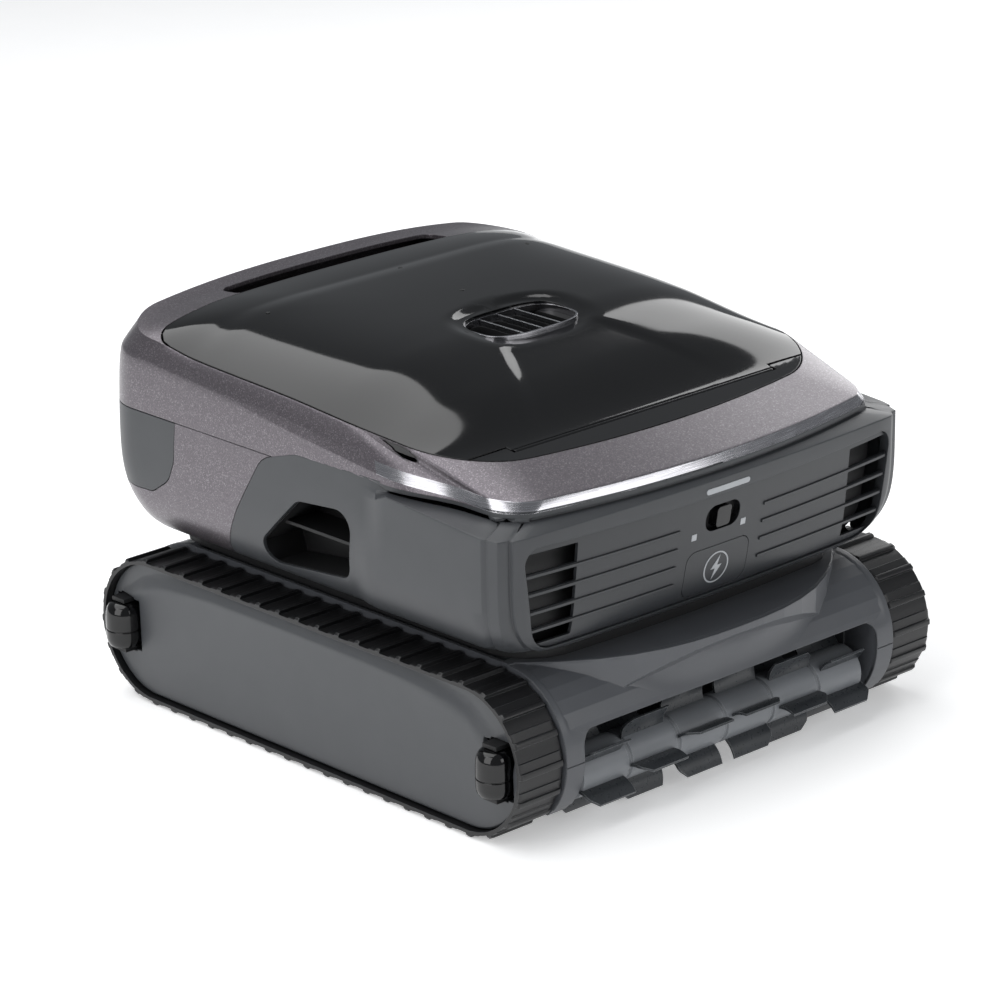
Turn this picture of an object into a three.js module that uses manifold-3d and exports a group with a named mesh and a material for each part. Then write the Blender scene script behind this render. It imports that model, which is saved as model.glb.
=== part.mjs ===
// A cordless robot that cleans swimming pools: two rubber tracks, two blade brushes, a pump that
// draws water up through a debris basket and out of the vent in the lid.
// Millimetres, +Z up. The origin is on the floor, under the middle of the machine.
// -Y is the end with the switch and the charge flap, and -X is the left-hand track.
import * as THREE from 'three';
import { mergeVertices } from 'three/addons/utils/BufferGeometryUtils.js';
import Module from 'manifold-3d';

const wasm = await Module();
wasm.setup();

// ---- driving dimensions -------------------------------------------------------------------
const GAP = 0.3; // clearance between two pieces that touch
const WALL = 3; // moulded shells

// tracks
const WHEELBASE = 348.8; // between the two wheel axles of a track
const TRACK_OUTER = 212.5; // from the middle to a belt's outer edge
const BELT_WIDTH = 41;
const BELT_INNER_R = 53; // inside of the belt where it goes round a wheel
const BELT_THICKNESS = 2.5;
const LUG_HEIGHT = 3;
const LUG_COUNT = 48;
const LUG_SHARE = 0.3; // part of each pitch that the lug fills
const AXLE_R = 5;
const WHEEL_RIM = 4; // rim wall of a track wheel

// gears, all of one module
const GEAR_MODULE = 2;
const WHEEL_TEETH = 25;
const PINION_TEETH = 12;
const BRUSH_TEETH = 14;
const GEAR_WIDTH = 6;
const BACKLASH = 0.35;

// brushes
const BRUSH_HEIGHT = 36.1; // brush axis above the floor
const BRUSH_TIP_R = 34.4;
const BRUSH_CORE_R = 18.5;
const BRUSH_HALF_LENGTH = 149.5;
const BLADE_THICKNESS = 2;
const BLADE_LENGTH = 42;
const BLADE_ROWS = 5;
const BLADES_PER_HALF = 3;
const JOURNAL_R = 4;

// chassis
const TUB_HALF_WIDTH = 169.5;
const TUB_FLOOR = 20;
const TUB_TOP = 118;
const CHEEK = 12.5; // space for the gears between the two walls of a cheek
const SHROUD_R = 58.5; // outside of the brush shroud, about the wheel axle
const WINDOW_HALF_WIDTH = 152;
const WINDOW_TOP = 78;
const CREASE_REACH = 64.6; // how far the deck reaches beyond the wheel axles in the middle
const CREASE_HALF_WIDTH = 164;

// body shell
const BODY_BOTTOM = 127;
const BODY_HALF_WIDTH = 203;
const BODY_FRONT = 203;
const BODY_REAR = 239;
const PANEL_HALF_WIDTH = 193;
const PANEL_FRONT = 148;
const PANEL_REAR = 181.5;
const SEAM_HEIGHT = 229.5; // between the rear cowl and the top cover
const COWL_TOP = 237;
const HINGE_Y = -143; // lid hinge, under the front end of the lid
const HINGE_ROD_R = 2.7;
const HINGE_HALF_LENGTH = 131;
const LID_CLEARANCE = 0.9; // round the lid, so that it opens freely
const SLOT_HALF_WIDTH = 107; // finger slot behind the lid
const SLOT_DEPTH = 25;

// vent and pump
const VENT_Y = -13;
const VENT_HALF_WIDTH = 45;
const VENT_HALF_LENGTH = 26;
const DUCT_R = 44;
const IMPELLER_R = 38;

// fascia
const LOUVRE_COUNT = 5;
const LOUVRE_PITCH = 14;
const LOUVRE_FIN = 3;
const FLAP_WIDTH = 64;
const FLAP_HEIGHT = 36;
const FLAP_CENTRE = 156;
const SWITCH_CENTRE = 197;

// guide rollers at the ends of the side covers
const ROLLER_R = 14;
const ROLLER_HEIGHT = 36;
const ROLLER_SETBACK = 4.1; // between a roller and the wheel rim that it stands inside
const ROLLER_X = 212;
const ROLLER_PIN_R = 3;

// debris basket
const BASKET_HALF_WIDTH = 138;
const BASKET_FRONT = 46;
const BASKET_REAR = 160;
const BASKET_TOP = 252;
const BASKET_WALL = 2;
const INTAKE_HALF_WIDTH = 60;
const INTAKE_FRONT = 84;
const INTAKE_REAR = 124;

// ---- worked out ---------------------------------------------------------------------------
const AXLE_Y = WHEELBASE / 2;
const BELT_OUTER_R = BELT_INNER_R + BELT_THICKNESS + LUG_HEIGHT;
const AXLE_Z = BELT_OUTER_R; // the lugs stand on the floor
const CREASE_FRONT = AXLE_Y + CREASE_REACH;
const TRACK_INNER = TRACK_OUTER - BELT_WIDTH;
const WHEEL_R = BELT_INNER_R - GAP;
const ROLLER_Y = AXLE_Y + WHEEL_R - WHEEL_RIM - ROLLER_R - ROLLER_SETBACK;
const BRACKET_X = ROLLER_X - ROLLER_R - 4.2; // back of a roller bracket's plate
const BRACKET_TO_WEB = 5.45; // from there to the middle of the wheel's web
const COVER_FACE = TRACK_OUTER - 3.3;
const COVER_THICKNESS = 4;
const CHEEK_OUTER = TUB_HALF_WIDTH - WALL; // inner face of a cheek's outside wall
const CHEEK_INNER = CHEEK_OUTER - CHEEK; // gear side of a cheek's inside wall
const GEAR_FAR = (CHEEK_OUTER + CHEEK_INNER + GEAR_WIDTH) / 2; // outside face of every gear
const pitchRadius = (teeth) => (GEAR_MODULE * teeth) / 2;
const MOTOR_Y = AXLE_Y - pitchRadius(WHEEL_TEETH) - pitchRadius(PINION_TEETH);
const BRUSH_REACH = pitchRadius(WHEEL_TEETH) + pitchRadius(BRUSH_TEETH);
const BRUSH_Y = AXLE_Y + Math.sqrt(BRUSH_REACH ** 2 - (AXLE_Z - BRUSH_HEIGHT) ** 2);
const FLOOR_TOP = TUB_FLOOR + WALL;

// ---- small tools --------------------------------------------------------------------------
const root = new THREE.Group();

// a manifold solid from any closed geometry
function solid(geometry) {
  let plain = geometry.clone();
  plain.deleteAttribute('normal');
  plain.deleteAttribute('uv');
  plain = mergeVertices(plain, 1e-4);
  const mesh = new wasm.Mesh({
    numProp: 3,
    vertProperties: new Float32Array(plain.attributes.position.array),
    triVerts: new Uint32Array(plain.index.array),
  });
  mesh.merge();
  return new wasm.Manifold(mesh);
}

const join = (solids) => solids.reduce((all, next) => all.add(next));

function geometryOf(manifold) {
  const mesh = manifold.getMesh();
  const geometry = new THREE.BufferGeometry();
  geometry.setAttribute('position', new THREE.BufferAttribute(mesh.vertProperties, 3));
  geometry.setIndex(new THREE.BufferAttribute(mesh.triVerts, 1));
  geometry.computeVertexNormals();
  return geometry;
}

// add one named piece
function piece(name, shape, finish, position = [0, 0, 0]) {
  const [color, roughness, metalness] = finish;
  const material = new THREE.MeshStandardMaterial({ color, roughness, metalness });
  const geometry = shape.isBufferGeometry ? shape : geometryOf(shape);
  const mesh = new THREE.Mesh(geometry, material);
  mesh.name = name;
  mesh.position.set(...position);
  root.add(mesh);
}

function box(x0, x1, y0, y1, z0, z1) {
  const geometry = new THREE.BoxGeometry(x1 - x0, y1 - y0, z1 - z0);
  return solid(geometry.translate((x0 + x1) / 2, (y0 + y1) / 2, (z0 + z1) / 2));
}

const mirrorX = (shape) => shape.mirror([1, 0, 0]);
const mirrorY = (shape) => shape.mirror([0, 1, 0]);

function shapeOf(points) {
  return new THREE.Shape(points.map(([u, v]) => new THREE.Vector2(u, v)));
}

function extruded(shape, depth, curveSegments = 3) {
  return new THREE.ExtrudeGeometry(shape, { depth, bevelEnabled: false, curveSegments });
}

// prisms: the outline lies in the plane across the named axis
const BASIS_X = new THREE.Matrix4().makeBasis(
  new THREE.Vector3(0, 1, 0), new THREE.Vector3(0, 0, 1), new THREE.Vector3(1, 0, 0));
const BASIS_Y = new THREE.Matrix4().makeBasis(
  new THREE.Vector3(1, 0, 0), new THREE.Vector3(0, 0, 1), new THREE.Vector3(0, -1, 0));

function prismX(shape, x0, x1, segments) {
  return solid(extruded(shape, x1 - x0, segments).applyMatrix4(BASIS_X).translate(x0, 0, 0));
}

function prismY(shape, y0, y1, segments) {
  return solid(extruded(shape, y1 - y0, segments).applyMatrix4(BASIS_Y).translate(0, y1, 0));
}

function prismZ(shape, z0, z1, segments) {
  return solid(extruded(shape, z1 - z0, segments).translate(0, 0, z0));
}

function rodX(r, x0, x1, y, z, sides = 14) {
  const geometry = new THREE.CylinderGeometry(r, r, x1 - x0, sides).rotateZ(Math.PI / 2);
  return solid(geometry.translate((x0 + x1) / 2, y, z));
}

function rodZ(r, z0, z1, x, y, sides = 14) {
  const geometry = new THREE.CylinderGeometry(r, r, z1 - z0, sides).rotateX(Math.PI / 2);
  return solid(geometry.translate(x, y, (z0 + z1) / 2));
}

function roundedRect(u0, u1, v0, v1, r) {
  const shape = new THREE.Shape();
  shape.absarc(u1 - r, v0 + r, r, -Math.PI / 2, 0);
  shape.absarc(u1 - r, v1 - r, r, 0, Math.PI / 2);
  shape.absarc(u0 + r, v1 - r, r, Math.PI / 2, Math.PI);
  shape.absarc(u0 + r, v0 + r, r, Math.PI, Math.PI * 1.5);
  return shape;
}

// a track's outline: two half circles about the wheel axles
function stadium(r) {
  const shape = new THREE.Shape();
  shape.absarc(AXLE_Y, AXLE_Z, r, -Math.PI / 2, Math.PI / 2);
  shape.absarc(-AXLE_Y, AXLE_Z, r, Math.PI / 2, Math.PI * 1.5);
  return shape;
}

// a spur gear with straight-sided teeth, centred on the origin and lying across X
function gear(teeth, x0, x1, firstTooth, bore) {
  const pitch = pitchRadius(teeth);
  const tip = pitch + GEAR_MODULE * 0.85;
  const foot = pitch - GEAR_MODULE * 1.15;
  const step = (Math.PI * 2) / teeth;
  const half = step / 4 - BACKLASH / pitch;
  const points = [];
  for (let tooth = 0; tooth < teeth; tooth += 1) {
    const middle = firstTooth + tooth * step;
    const corners = [
      [foot, -half * 1.5], [tip, -half * 0.45], [tip, half * 0.45], [foot, half * 1.5],
    ];
    for (const [r, offset] of corners) {
      points.push([r * Math.cos(middle + offset), r * Math.sin(middle + offset)]);
    }
  }
  const shape = shapeOf(points);
  if (bore) {
    shape.holes.push(new THREE.Path().absarc(0, 0, bore, 0, Math.PI * 2));
  }
  return prismX(shape, x0, x1, 8);
}

// finishes: colour, roughness, metalness
const BLACK_GLOSS = [0x0b0b0d, 0.06, 0];
const SILVER = [0x67636a, 0.35, 0.8];
const DARK_SHELL = [0x3c3e41, 0.5, 0];
const MID_SHELL = [0x5c5e62, 0.4, 0];
const RUBBER = [0x141416, 0.7, 0];
const INNER_PLASTIC = [0x26282b, 0.6, 0];
const BLADE_PLASTIC = [0x33373a, 0.45, 0];
const STEEL = [0x9a9da1, 0.3, 1];
const GEAR_PLASTIC = [0xd8d6cc, 0.5, 0];

// ---- body shell ---------------------------------------------------------------------------
// straight pieces between named points
function along(table, at) {
  const last = table.length - 1;
  if (at <= table[0][0]) return table[0][1];
  if (at >= table[last][0]) return table[last][1];
  const next = table.findIndex(([place]) => place >= at);
  const [a, low] = table[next - 1];
  const [b, high] = table[next];
  return low + ((high - low) * (at - a)) / (b - a);
}

// heights along Y: the shoulder's outer corner, the panel's edge, and the crown above that edge
const shoulder = (y) => along([[-190, 244], [-140, 246], [-90, 250], [50, 264], [230, 277]], y);
const panelEdge = (y) => along(
  [[-176, 256], [-140, 260], [-100, 265], [-44, 269], [20, 274], [130, 279], [175, 284], [224, 286]], y);
const crown = (y) => along([[-140, 0], [-80, 20], [-13, 32], [60, 32], [120, 31], [180, 15], [224, 1]], y);
const rearArch = (y) => along([[140, 0], [180, 8], [224, 17]], y);
const CROWN_POWER = 5;
const archedEdge = (x, y) => panelEdge(y)
  + rearArch(y) * Math.max(0, 1 - Math.abs(x / BODY_HALF_WIDTH) ** 2.5);

// one level of the body: half width, front, rear, corner radii, forward bow, front taper, height
const bodyLevels = (inset) => [
  [168, -190, 214, 40, 46, 8, 0, () => BODY_BOTTOM],
  [188, -199, 228, 26, 50, 9, 0, () => BODY_BOTTOM + 8],
  [BODY_HALF_WIDTH - 4, -BODY_FRONT + 1, BODY_REAR - 2, 18, 54, 11, 0, () => 152],
  [BODY_HALF_WIDTH, -BODY_FRONT, BODY_REAR, 16, 44, 14, 0, () => 175],
  [BODY_HALF_WIDTH, -BODY_FRONT, BODY_REAR, 16, 42, 21, 0, () => 215],
  [BODY_HALF_WIDTH - 1, -BODY_FRONT + 1, BODY_REAR - 1, 24, 44, 23, 0.015, (x, y) => shoulder(y) - 8 - inset],
  [BODY_HALF_WIDTH - 3, -BODY_FRONT + 5, BODY_REAR - 3, 30, 50, 23, 0.03, (x, y) => shoulder(y) - inset],
  [PANEL_HALF_WIDTH + 1, -PANEL_FRONT, BODY_REAR - 14, 56, 44, 26, 0.03, (x, y) => archedEdge(x, y) - inset],
];

const CORNER_STEPS = 4;
const SIDE_STEPS = 6;
const END_STEPS = 4;

// points of one level, anticlockwise from the right-hand end of the front
function levelRing([w, front, rear, rFront, rRear, bow, taper], inset) {
  const half = w - inset;
  const low = front + inset;
  const high = rear - inset;
  const corners = [
    [half, low, Math.max(rFront - inset, 2), -90],
    [half, high, Math.max(rRear - inset, 2), 0],
    [-half, high, Math.max(rRear - inset, 2), 90],
    [-half, low, Math.max(rFront - inset, 2), 180],
  ];
  const straights = [SIDE_STEPS, END_STEPS, SIDE_STEPS, END_STEPS];
  const ring = [];
  corners.forEach(([x, y, r, from], index) => {
    const cx = x - Math.sign(x) * r;
    const cy = y - (index === 0 || index === 3 ? -r : r);
    for (let step = 0; step <= CORNER_STEPS; step += 1) {
      const angle = THREE.MathUtils.degToRad(from + (90 * step) / CORNER_STEPS);
      ring.push([cx + r * Math.cos(angle), cy + r * Math.sin(angle)]);
    }
    const [x1, y1] = ring[ring.length - 1];
    const [nx, ny, nr, nfrom] = corners[(index + 1) % 4];
    const start = THREE.MathUtils.degToRad(nfrom);
    const ncx = nx - Math.sign(nx) * nr;
    const ncy = ny - (index === 2 || index === 3 ? -nr : nr);
    const x2 = ncx + nr * Math.cos(start);
    const y2 = ncy + nr * Math.sin(start);
    for (let step = 1; step < straights[index]; step += 1) {
      const share = step / straights[index];
      ring.push([x1 + (x2 - x1) * share, y1 + (y2 - y1) * share]);
    }
  });
  const nearFront = (y) => THREE.MathUtils.clamp((-y - 90) / 70, 0, 1);
  const narrowing = (y) => 1 - taper * THREE.MathUtils.clamp(-y / 150, 0, 1) ** 1.5;
  return ring.map(([x, y]) => [
    x * narrowing(y), y - bow * nearFront(y) * Math.max(0, 1 - (x / half) ** 2)]);
}

const CROWN_MIDDLE = 20; // the crown's rings close in on this Y
const CROWN_RINGS = [0.93, 0.82, 0.6];

function bodySolid(inset, bottom) {
  const rings = [];
  const levels = bodyLevels(inset);
  levels.forEach((level, index) => {
    const height = level[7];
    rings.push(levelRing(level, inset).map(([x, y]) => [x, y, index ? height(x, y) : bottom]));
  });
  if (bottom < BODY_BOTTOM) {
    rings.splice(1, 0, levelRing(levels[0], inset).map(([x, y]) => [x, y, BODY_BOTTOM]));
  }
  const edge = rings[rings.length - 1];
  for (const share of CROWN_RINGS) {
    rings.push(edge.map(([x, y]) => {
      const py = CROWN_MIDDLE + (y - CROWN_MIDDLE) * share;
      const height = archedEdge(x * share, py) + crown(py) * (1 - share ** CROWN_POWER);
      return [x * share, py, height - inset];
    }));
  }
  const count = edge.length;
  const points = rings.flat();
  const faces = [];
  for (let ring = 0; ring + 1 < rings.length; ring += 1) {
    for (let i = 0; i < count; i += 1) {
      const a = ring * count + i;
      const b = ring * count + ((i + 1) % count);
      faces.push(a, b, b + count, a, b + count, a + count);
    }
  }
  const top = points.push([0, CROWN_MIDDLE, panelEdge(CROWN_MIDDLE) - inset + crown(CROWN_MIDDLE)]) - 1;
  const base = points.push([0, CROWN_MIDDLE, bottom]) - 1;
  const lastRing = (rings.length - 1) * count;
  for (let i = 0; i < count; i += 1) {
    const next = (i + 1) % count;
    faces.push(lastRing + i, lastRing + next, top);
    faces.push(next, i, base);
  }
  const geometry = new THREE.BufferGeometry();
  geometry.setAttribute('position', new THREE.Float32BufferAttribute(points.flat(), 3));
  geometry.setIndex(faces);
  return solid(geometry);
}

const FAR = 300; // cutters reach past the body
const skin = bodySolid(0, BODY_BOTTOM).subtract(bodySolid(WALL, BODY_BOTTOM - 10));

// plan of the gloss panel: straight sides, rounded corners, bowed front
function panelPlan(grow) {
  const ring = levelRing(
    [PANEL_HALF_WIDTH + grow, -PANEL_FRONT - grow, PANEL_REAR + grow, 56, 20, 26, 0.03], 0);
  return shapeOf(ring);
}

// side view of the front cowl: it ends in a slope behind the side window
const cowlSide = (grow) => shapeOf([
  [-FAR, 100], [118 + grow, 100], [93 + grow, 150], [78 + grow, 178], [42 + grow, 226 + grow],
  [10, COWL_TOP + grow], [-FAR, COWL_TOP + grow],
]);
// side view of the dark panel that wraps round the rear
const rearSide = (grow) => shapeOf([
  [FAR, 168 - grow], [200, 168 - grow], [176, 170 - grow], [156 - grow, 184], [150 - grow, 194],
  [146 - grow, SEAM_HEIGHT - 1 + grow], [FAR, SEAM_HEIGHT - 1 + grow],
]);
const fasciaFront = (grow) => roundedRect(
  -197 - grow, 197 + grow, 132 - grow, 226 + grow, 34 + grow);
const windowSide = (grow) => shapeOf([
  [53.5 + grow, 160], [9.4 + grow * 0.5, 202 + grow], [-50.4 - grow, 208 + grow],
  [-43 - grow, 155 - grow], [47.6 + grow, 144 - grow],
]);

const lidZone = prismZ(panelPlan(0), 240, FAR * 2).intersect(box(-FAR, FAR, -FAR, PANEL_REAR, 0, FAR * 2));
const lidHole = prismZ(panelPlan(LID_CLEARANCE), 240, FAR * 2).intersect(
  box(-FAR, FAR, -FAR, PANEL_REAR + LID_CLEARANCE, 0, FAR * 2));
const fingerSlot = prismZ(
  roundedRect(-SLOT_HALF_WIDTH, SLOT_HALF_WIDTH, PANEL_REAR, PANEL_REAR + SLOT_DEPTH, 9), 260, FAR * 2);
const aboveSeam = box(-FAR, FAR, -FAR, FAR, SEAM_HEIGHT, FAR * 2);
const belowSeam = box(-FAR, FAR, -FAR, FAR, 0, SEAM_HEIGHT - GAP);
const cowlZone = prismX(cowlSide(0), -FAR, FAR);
const cowlCut = prismX(cowlSide(GAP), -FAR, FAR);
const rearZone = prismX(rearSide(0), -FAR, FAR);
const rearCut = prismX(rearSide(GAP), -FAR, FAR);
const fasciaZone = prismY(fasciaFront(0), -FAR, -150);
const fasciaCut = prismY(fasciaFront(GAP), -FAR, -150);
const sideWindows = prismX(windowSide(0), -FAR, FAR).subtract(box(-150, 150, -FAR, FAR, 0, FAR));

piece('top_cover', skin.intersect(aboveSeam).subtract(cowlCut).subtract(lidHole)
  .subtract(fingerSlot), SILVER);
piece('rear_cowl', skin.intersect(belowSeam).subtract(cowlCut).subtract(rearCut), SILVER);
piece('rear_panel', skin.intersect(rearZone), DARK_SHELL);
piece('front_cowl', skin.intersect(cowlZone).subtract(fasciaCut).subtract(sideWindows), DARK_SHELL);

// ---- front fascia: louvres, switch, charge flap --------------------------------------------
function louvreCuts(side) {
  const cuts = [];
  const lowest = 174 - (LOUVRE_PITCH * (LOUVRE_COUNT - 1)) / 2;
  for (let row = 0; row < LOUVRE_COUNT; row += 1) {
    const z = lowest + row * LOUVRE_PITCH;
    const end = row === 0 ? 182 : 190; // the lowest opening is shorter, inside the rounded corner
    const half = (LOUVRE_PITCH - LOUVRE_FIN) / 2;
    cuts.push(box(141, end, -FAR, -180, z - half, z + half));
  }
  return side > 0 ? join(cuts) : mirrorX(join(cuts));
}

const SWITCH_SLOT = [35, 20];
const INDICATOR = [44, 5, 219]; // width, height, centre above the floor
// the fascia's face leans forward: where it lies at a given height, and the frame behind it
const frontAt = (z) => -along([[135, 211.5], [152, 213], [175, 217], [215, 224], [240, 226]], z);
const FRAME_BACK = -203.5;
const FRAME_HALF_WIDTH = 44;
const flapBottom = FLAP_CENTRE - FLAP_HEIGHT / 2;
const flapOutline = (grow) => roundedRect(
  -FLAP_WIDTH / 2 - grow, FLAP_WIDTH / 2 + grow,
  flapBottom - grow, flapBottom + FLAP_HEIGHT + grow, 9);
const slotOutline = (width, height, z) => roundedRect(
  -width / 2, width / 2, z - height / 2, z + height / 2, height * 0.45);
const behindFace = [-FAR, FRAME_BACK + 10];
const fascia = skin.intersect(fasciaZone)
  .add(box(-FRAME_HALF_WIDTH, FRAME_HALF_WIDTH, -FAR, FRAME_BACK, 133, 225)
    .intersect(bodySolid(1, BODY_BOTTOM)).intersect(fasciaZone))
  .subtract(louvreCuts(1)).subtract(louvreCuts(-1))
  .subtract(prismY(flapOutline(GAP), ...behindFace))
  .subtract(prismY(slotOutline(...SWITCH_SLOT, SWITCH_CENTRE), ...behindFace))
  .subtract(prismY(slotOutline(INDICATOR[0], INDICATOR[1], INDICATOR[2]), ...behindFace));
piece('front_fascia', fascia, DARK_SHELL);

// the flap's lower edge is its hinge rod
const FLAP_ROD_R = WALL / 2;
const FLAP_AXIS = [frontAt(flapBottom + FLAP_ROD_R) + FLAP_ROD_R, flapBottom + FLAP_ROD_R];
const flapPlate = skin.intersect(prismY(flapOutline(0), -FAR, -150))
  .intersect(box(-FAR, FAR, -FAR, 0, FLAP_AXIS[1], FAR))
  .add(rodX(FLAP_ROD_R, 9 - FLAP_WIDTH / 2, FLAP_WIDTH / 2 - 9, ...FLAP_AXIS, 12));
piece('charge_flap', flapPlate, DARK_SHELL);

const SOCKET_R = 13;
const behindFrame = FRAME_BACK + GAP;
const rodY = (r, y0, y1, x, z, sides = 20) => solid(
  new THREE.CylinderGeometry(r, r, y1 - y0, sides).translate(x, (y0 + y1) / 2, z));
piece('charge_socket', box(-38, 38, behindFrame, behindFrame + 4, 141, 171)
  .add(rodY(SOCKET_R, behindFrame - 3, behindFrame + 14, 0, FLAP_CENTRE))
  .subtract(rodY(SOCKET_R - 3, -FAR, behindFrame + 8, 0, FLAP_CENTRE)), INNER_PLASTIC);
const knobHeight = SWITCH_SLOT[1] - 5;
piece('mode_switch', box(-24, 24, behindFrame, behindFrame + 2.5, SWITCH_CENTRE - 12, SWITCH_CENTRE + 12)
  .add(box(-5.5, 5.5, frontAt(SWITCH_CENTRE) + 2, behindFrame + 1,
    SWITCH_CENTRE - knobHeight / 2, SWITCH_CENTRE + knobHeight / 2)), BLACK_GLOSS);
piece('indicator_lens', box(-27, 27, behindFrame, behindFrame + 2, 215, 223)
  .add(box(GAP - INDICATOR[0] / 2 + 2, INDICATOR[0] / 2 - GAP - 2, frontAt(INDICATOR[2]) + 1.5,
    behindFrame + 1, INDICATOR[2] - INDICATOR[1] / 2 + GAP, INDICATOR[2] + INDICATOR[1] / 2 - GAP)),
[0xc9ccd0, 0.3, 0]);

// ---- side windows ----------------------------------------------------------------------------
const WINDOW_DEPTH = 44;
const ductOuter = prismX(windowSide(2.2), -BODY_HALF_WIDTH + WALL + GAP + 1, -BODY_HALF_WIDTH + WINDOW_DEPTH);
const ductInner = prismX(windowSide(0), -FAR, -BODY_HALF_WIDTH + WINDOW_DEPTH - 2);
const ductVane = box(-BODY_HALF_WIDTH + 12, -BODY_HALF_WIDTH + WINDOW_DEPTH - 1, -56, 60, 176, 178.5);
const leftDuct = ductOuter.subtract(ductInner)
  .add(ductVane.intersect(prismX(windowSide(1), -FAR, FAR)))
  .intersect(bodySolid(WALL + GAP, BODY_BOTTOM - 10));
piece('left_window_duct', leftDuct, INNER_PLASTIC);
piece('right_window_duct', mirrorX(leftDuct), INNER_PLASTIC);

// ---- lid ---------------------------------------------------------------------------------------
const HINGE_Z = panelEdge(HINGE_Y) - HINGE_ROD_R;
const ventOutline = (grow) => {
  const shape = new THREE.Shape();
  for (let step = 0; step < 28; step += 1) {
    const angle = (Math.PI * 2 * step) / 28;
    const power = 0.62;
    const x = (VENT_HALF_WIDTH + grow) * Math.sign(Math.cos(angle)) * Math.abs(Math.cos(angle)) ** power;
    const y = (VENT_HALF_LENGTH + grow) * Math.sign(Math.sin(angle)) * Math.abs(Math.sin(angle)) ** power;
    if (step === 0) {
      shape.moveTo(x, VENT_Y + y);
    } else {
      shape.lineTo(x, VENT_Y + y);
    }
  }
  return shape;
};
const panel = skin.intersect(lidZone);
// the lid's front corners are cut back, so that they clear the cover as the lid turns
const LID_FRONT = HINGE_Y + 2;
const CORNER_FRONT = HINGE_Y + 7;
const lidCorners = (clearance) => box(-FAR, FAR, -FAR, CORNER_FRONT - clearance, 0, FAR * 2).subtract(box(
  -HINGE_HALF_LENGTH - 1 - clearance, HINGE_HALF_LENGTH + 1 + clearance, -FAR, FAR, 0, FAR * 2));
const lid = panel.intersect(box(-FAR, FAR, LID_FRONT, FAR, 0, FAR * 2)).subtract(lidCorners(0))
  .add(rodX(HINGE_ROD_R, -HINGE_HALF_LENGTH, HINGE_HALF_LENGTH, HINGE_Y, HINGE_Z, 16))
  .subtract(prismZ(ventOutline(GAP), 200, FAR * 2));
piece('lid_panel', lid, BLACK_GLOSS);
piece('hinge_trim', panel.intersect(
  box(-FAR, FAR, -FAR, HINGE_Y - HINGE_ROD_R - LID_CLEARANCE, 0, FAR * 2)
    .add(lidCorners(2 * LID_CLEARANCE))), BLACK_GLOSS);
const GRILLE_TOP = 297;
const grilleSlots = [-1, 0, 1, 2].map((index) => box(
  (index - 0.5) * 18.6 - 7.4, (index - 0.5) * 18.6 + 7.4,
  VENT_Y - VENT_HALF_LENGTH + 5, VENT_Y + VENT_HALF_LENGTH - 5, 200, FAR * 2));
// the grille hangs in the lid's hole by a rim under it
const grille = prismZ(ventOutline(0), GRILLE_TOP - 12, GRILLE_TOP)
  .subtract(prismZ(ventOutline(-3), GRILLE_TOP - 8, FAR * 2))
  .subtract(join(grilleSlots));
piece('vent_grille', grille, INNER_PLASTIC);

// ---- chassis ---------------------------------------------------------------------------------
const TUB_END = AXLE_Y - 6.5; // outside of the tub's end walls
const halfTub = (side) => {
  const inner = side * CHEEK_INNER;
  const wall = side * (CHEEK_INNER - WALL);
  return box(Math.min(inner, wall), Math.max(inner, wall), -TUB_END, TUB_END, FLOOR_TOP - 1, TUB_TOP);
};
const intakeHole = box(-INTAKE_HALF_WIDTH, INTAKE_HALF_WIDTH, INTAKE_FRONT, INTAKE_REAR, 0, 40);
const collar = box(-INTAKE_HALF_WIDTH - 3, INTAKE_HALF_WIDTH + 3, INTAKE_FRONT - 3, INTAKE_REAR + 3,
  FLOOR_TOP - 1, FLOOR_TOP + 4);
let tub = box(-TUB_HALF_WIDTH, TUB_HALF_WIDTH, -TUB_END, TUB_END, TUB_FLOOR, TUB_TOP)
  .subtract(box(-CHEEK_OUTER, CHEEK_OUTER, -FAR, FAR, FLOOR_TOP, FAR))
  .add(halfTub(-1)).add(halfTub(1));
for (const end of [-1, 1]) {
  const inside = end * (TUB_END - WALL);
  const outside = end * TUB_END;
  tub = tub.add(box(-CHEEK_INNER + 1, CHEEK_INNER - 1, Math.min(inside, outside),
    Math.max(inside, outside), FLOOR_TOP - 1, TUB_TOP));
}
for (const side of [-1, 1]) {
  tub = tub.subtract(rodX(AXLE_R + GAP, side > 0 ? CHEEK_INNER - 5 : -CHEEK_INNER - 1,
    side > 0 ? CHEEK_INNER + 1 : -CHEEK_INNER + 5, -MOTOR_Y, AXLE_Z));
}
// the neck joins the shell to the tub: a frame that fits inside the shell's lower edge
const NECK_TOP = 132.6;
const neck = bodySolid(WALL + GAP, TUB_TOP + GAP)
  .intersect(box(-FAR, FAR, -FAR, FAR, 0, NECK_TOP))
  .subtract(box(-CHEEK_INNER - 2, CHEEK_INNER + 2, -TUB_END, BODY_REAR - 40, 0, FAR));
piece('neck_frame', neck, RUBBER);

// the floor intake under the basket
tub = tub.add(collar).subtract(intakeHole);
piece('chassis_tub', tub, MID_SHELL);

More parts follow.
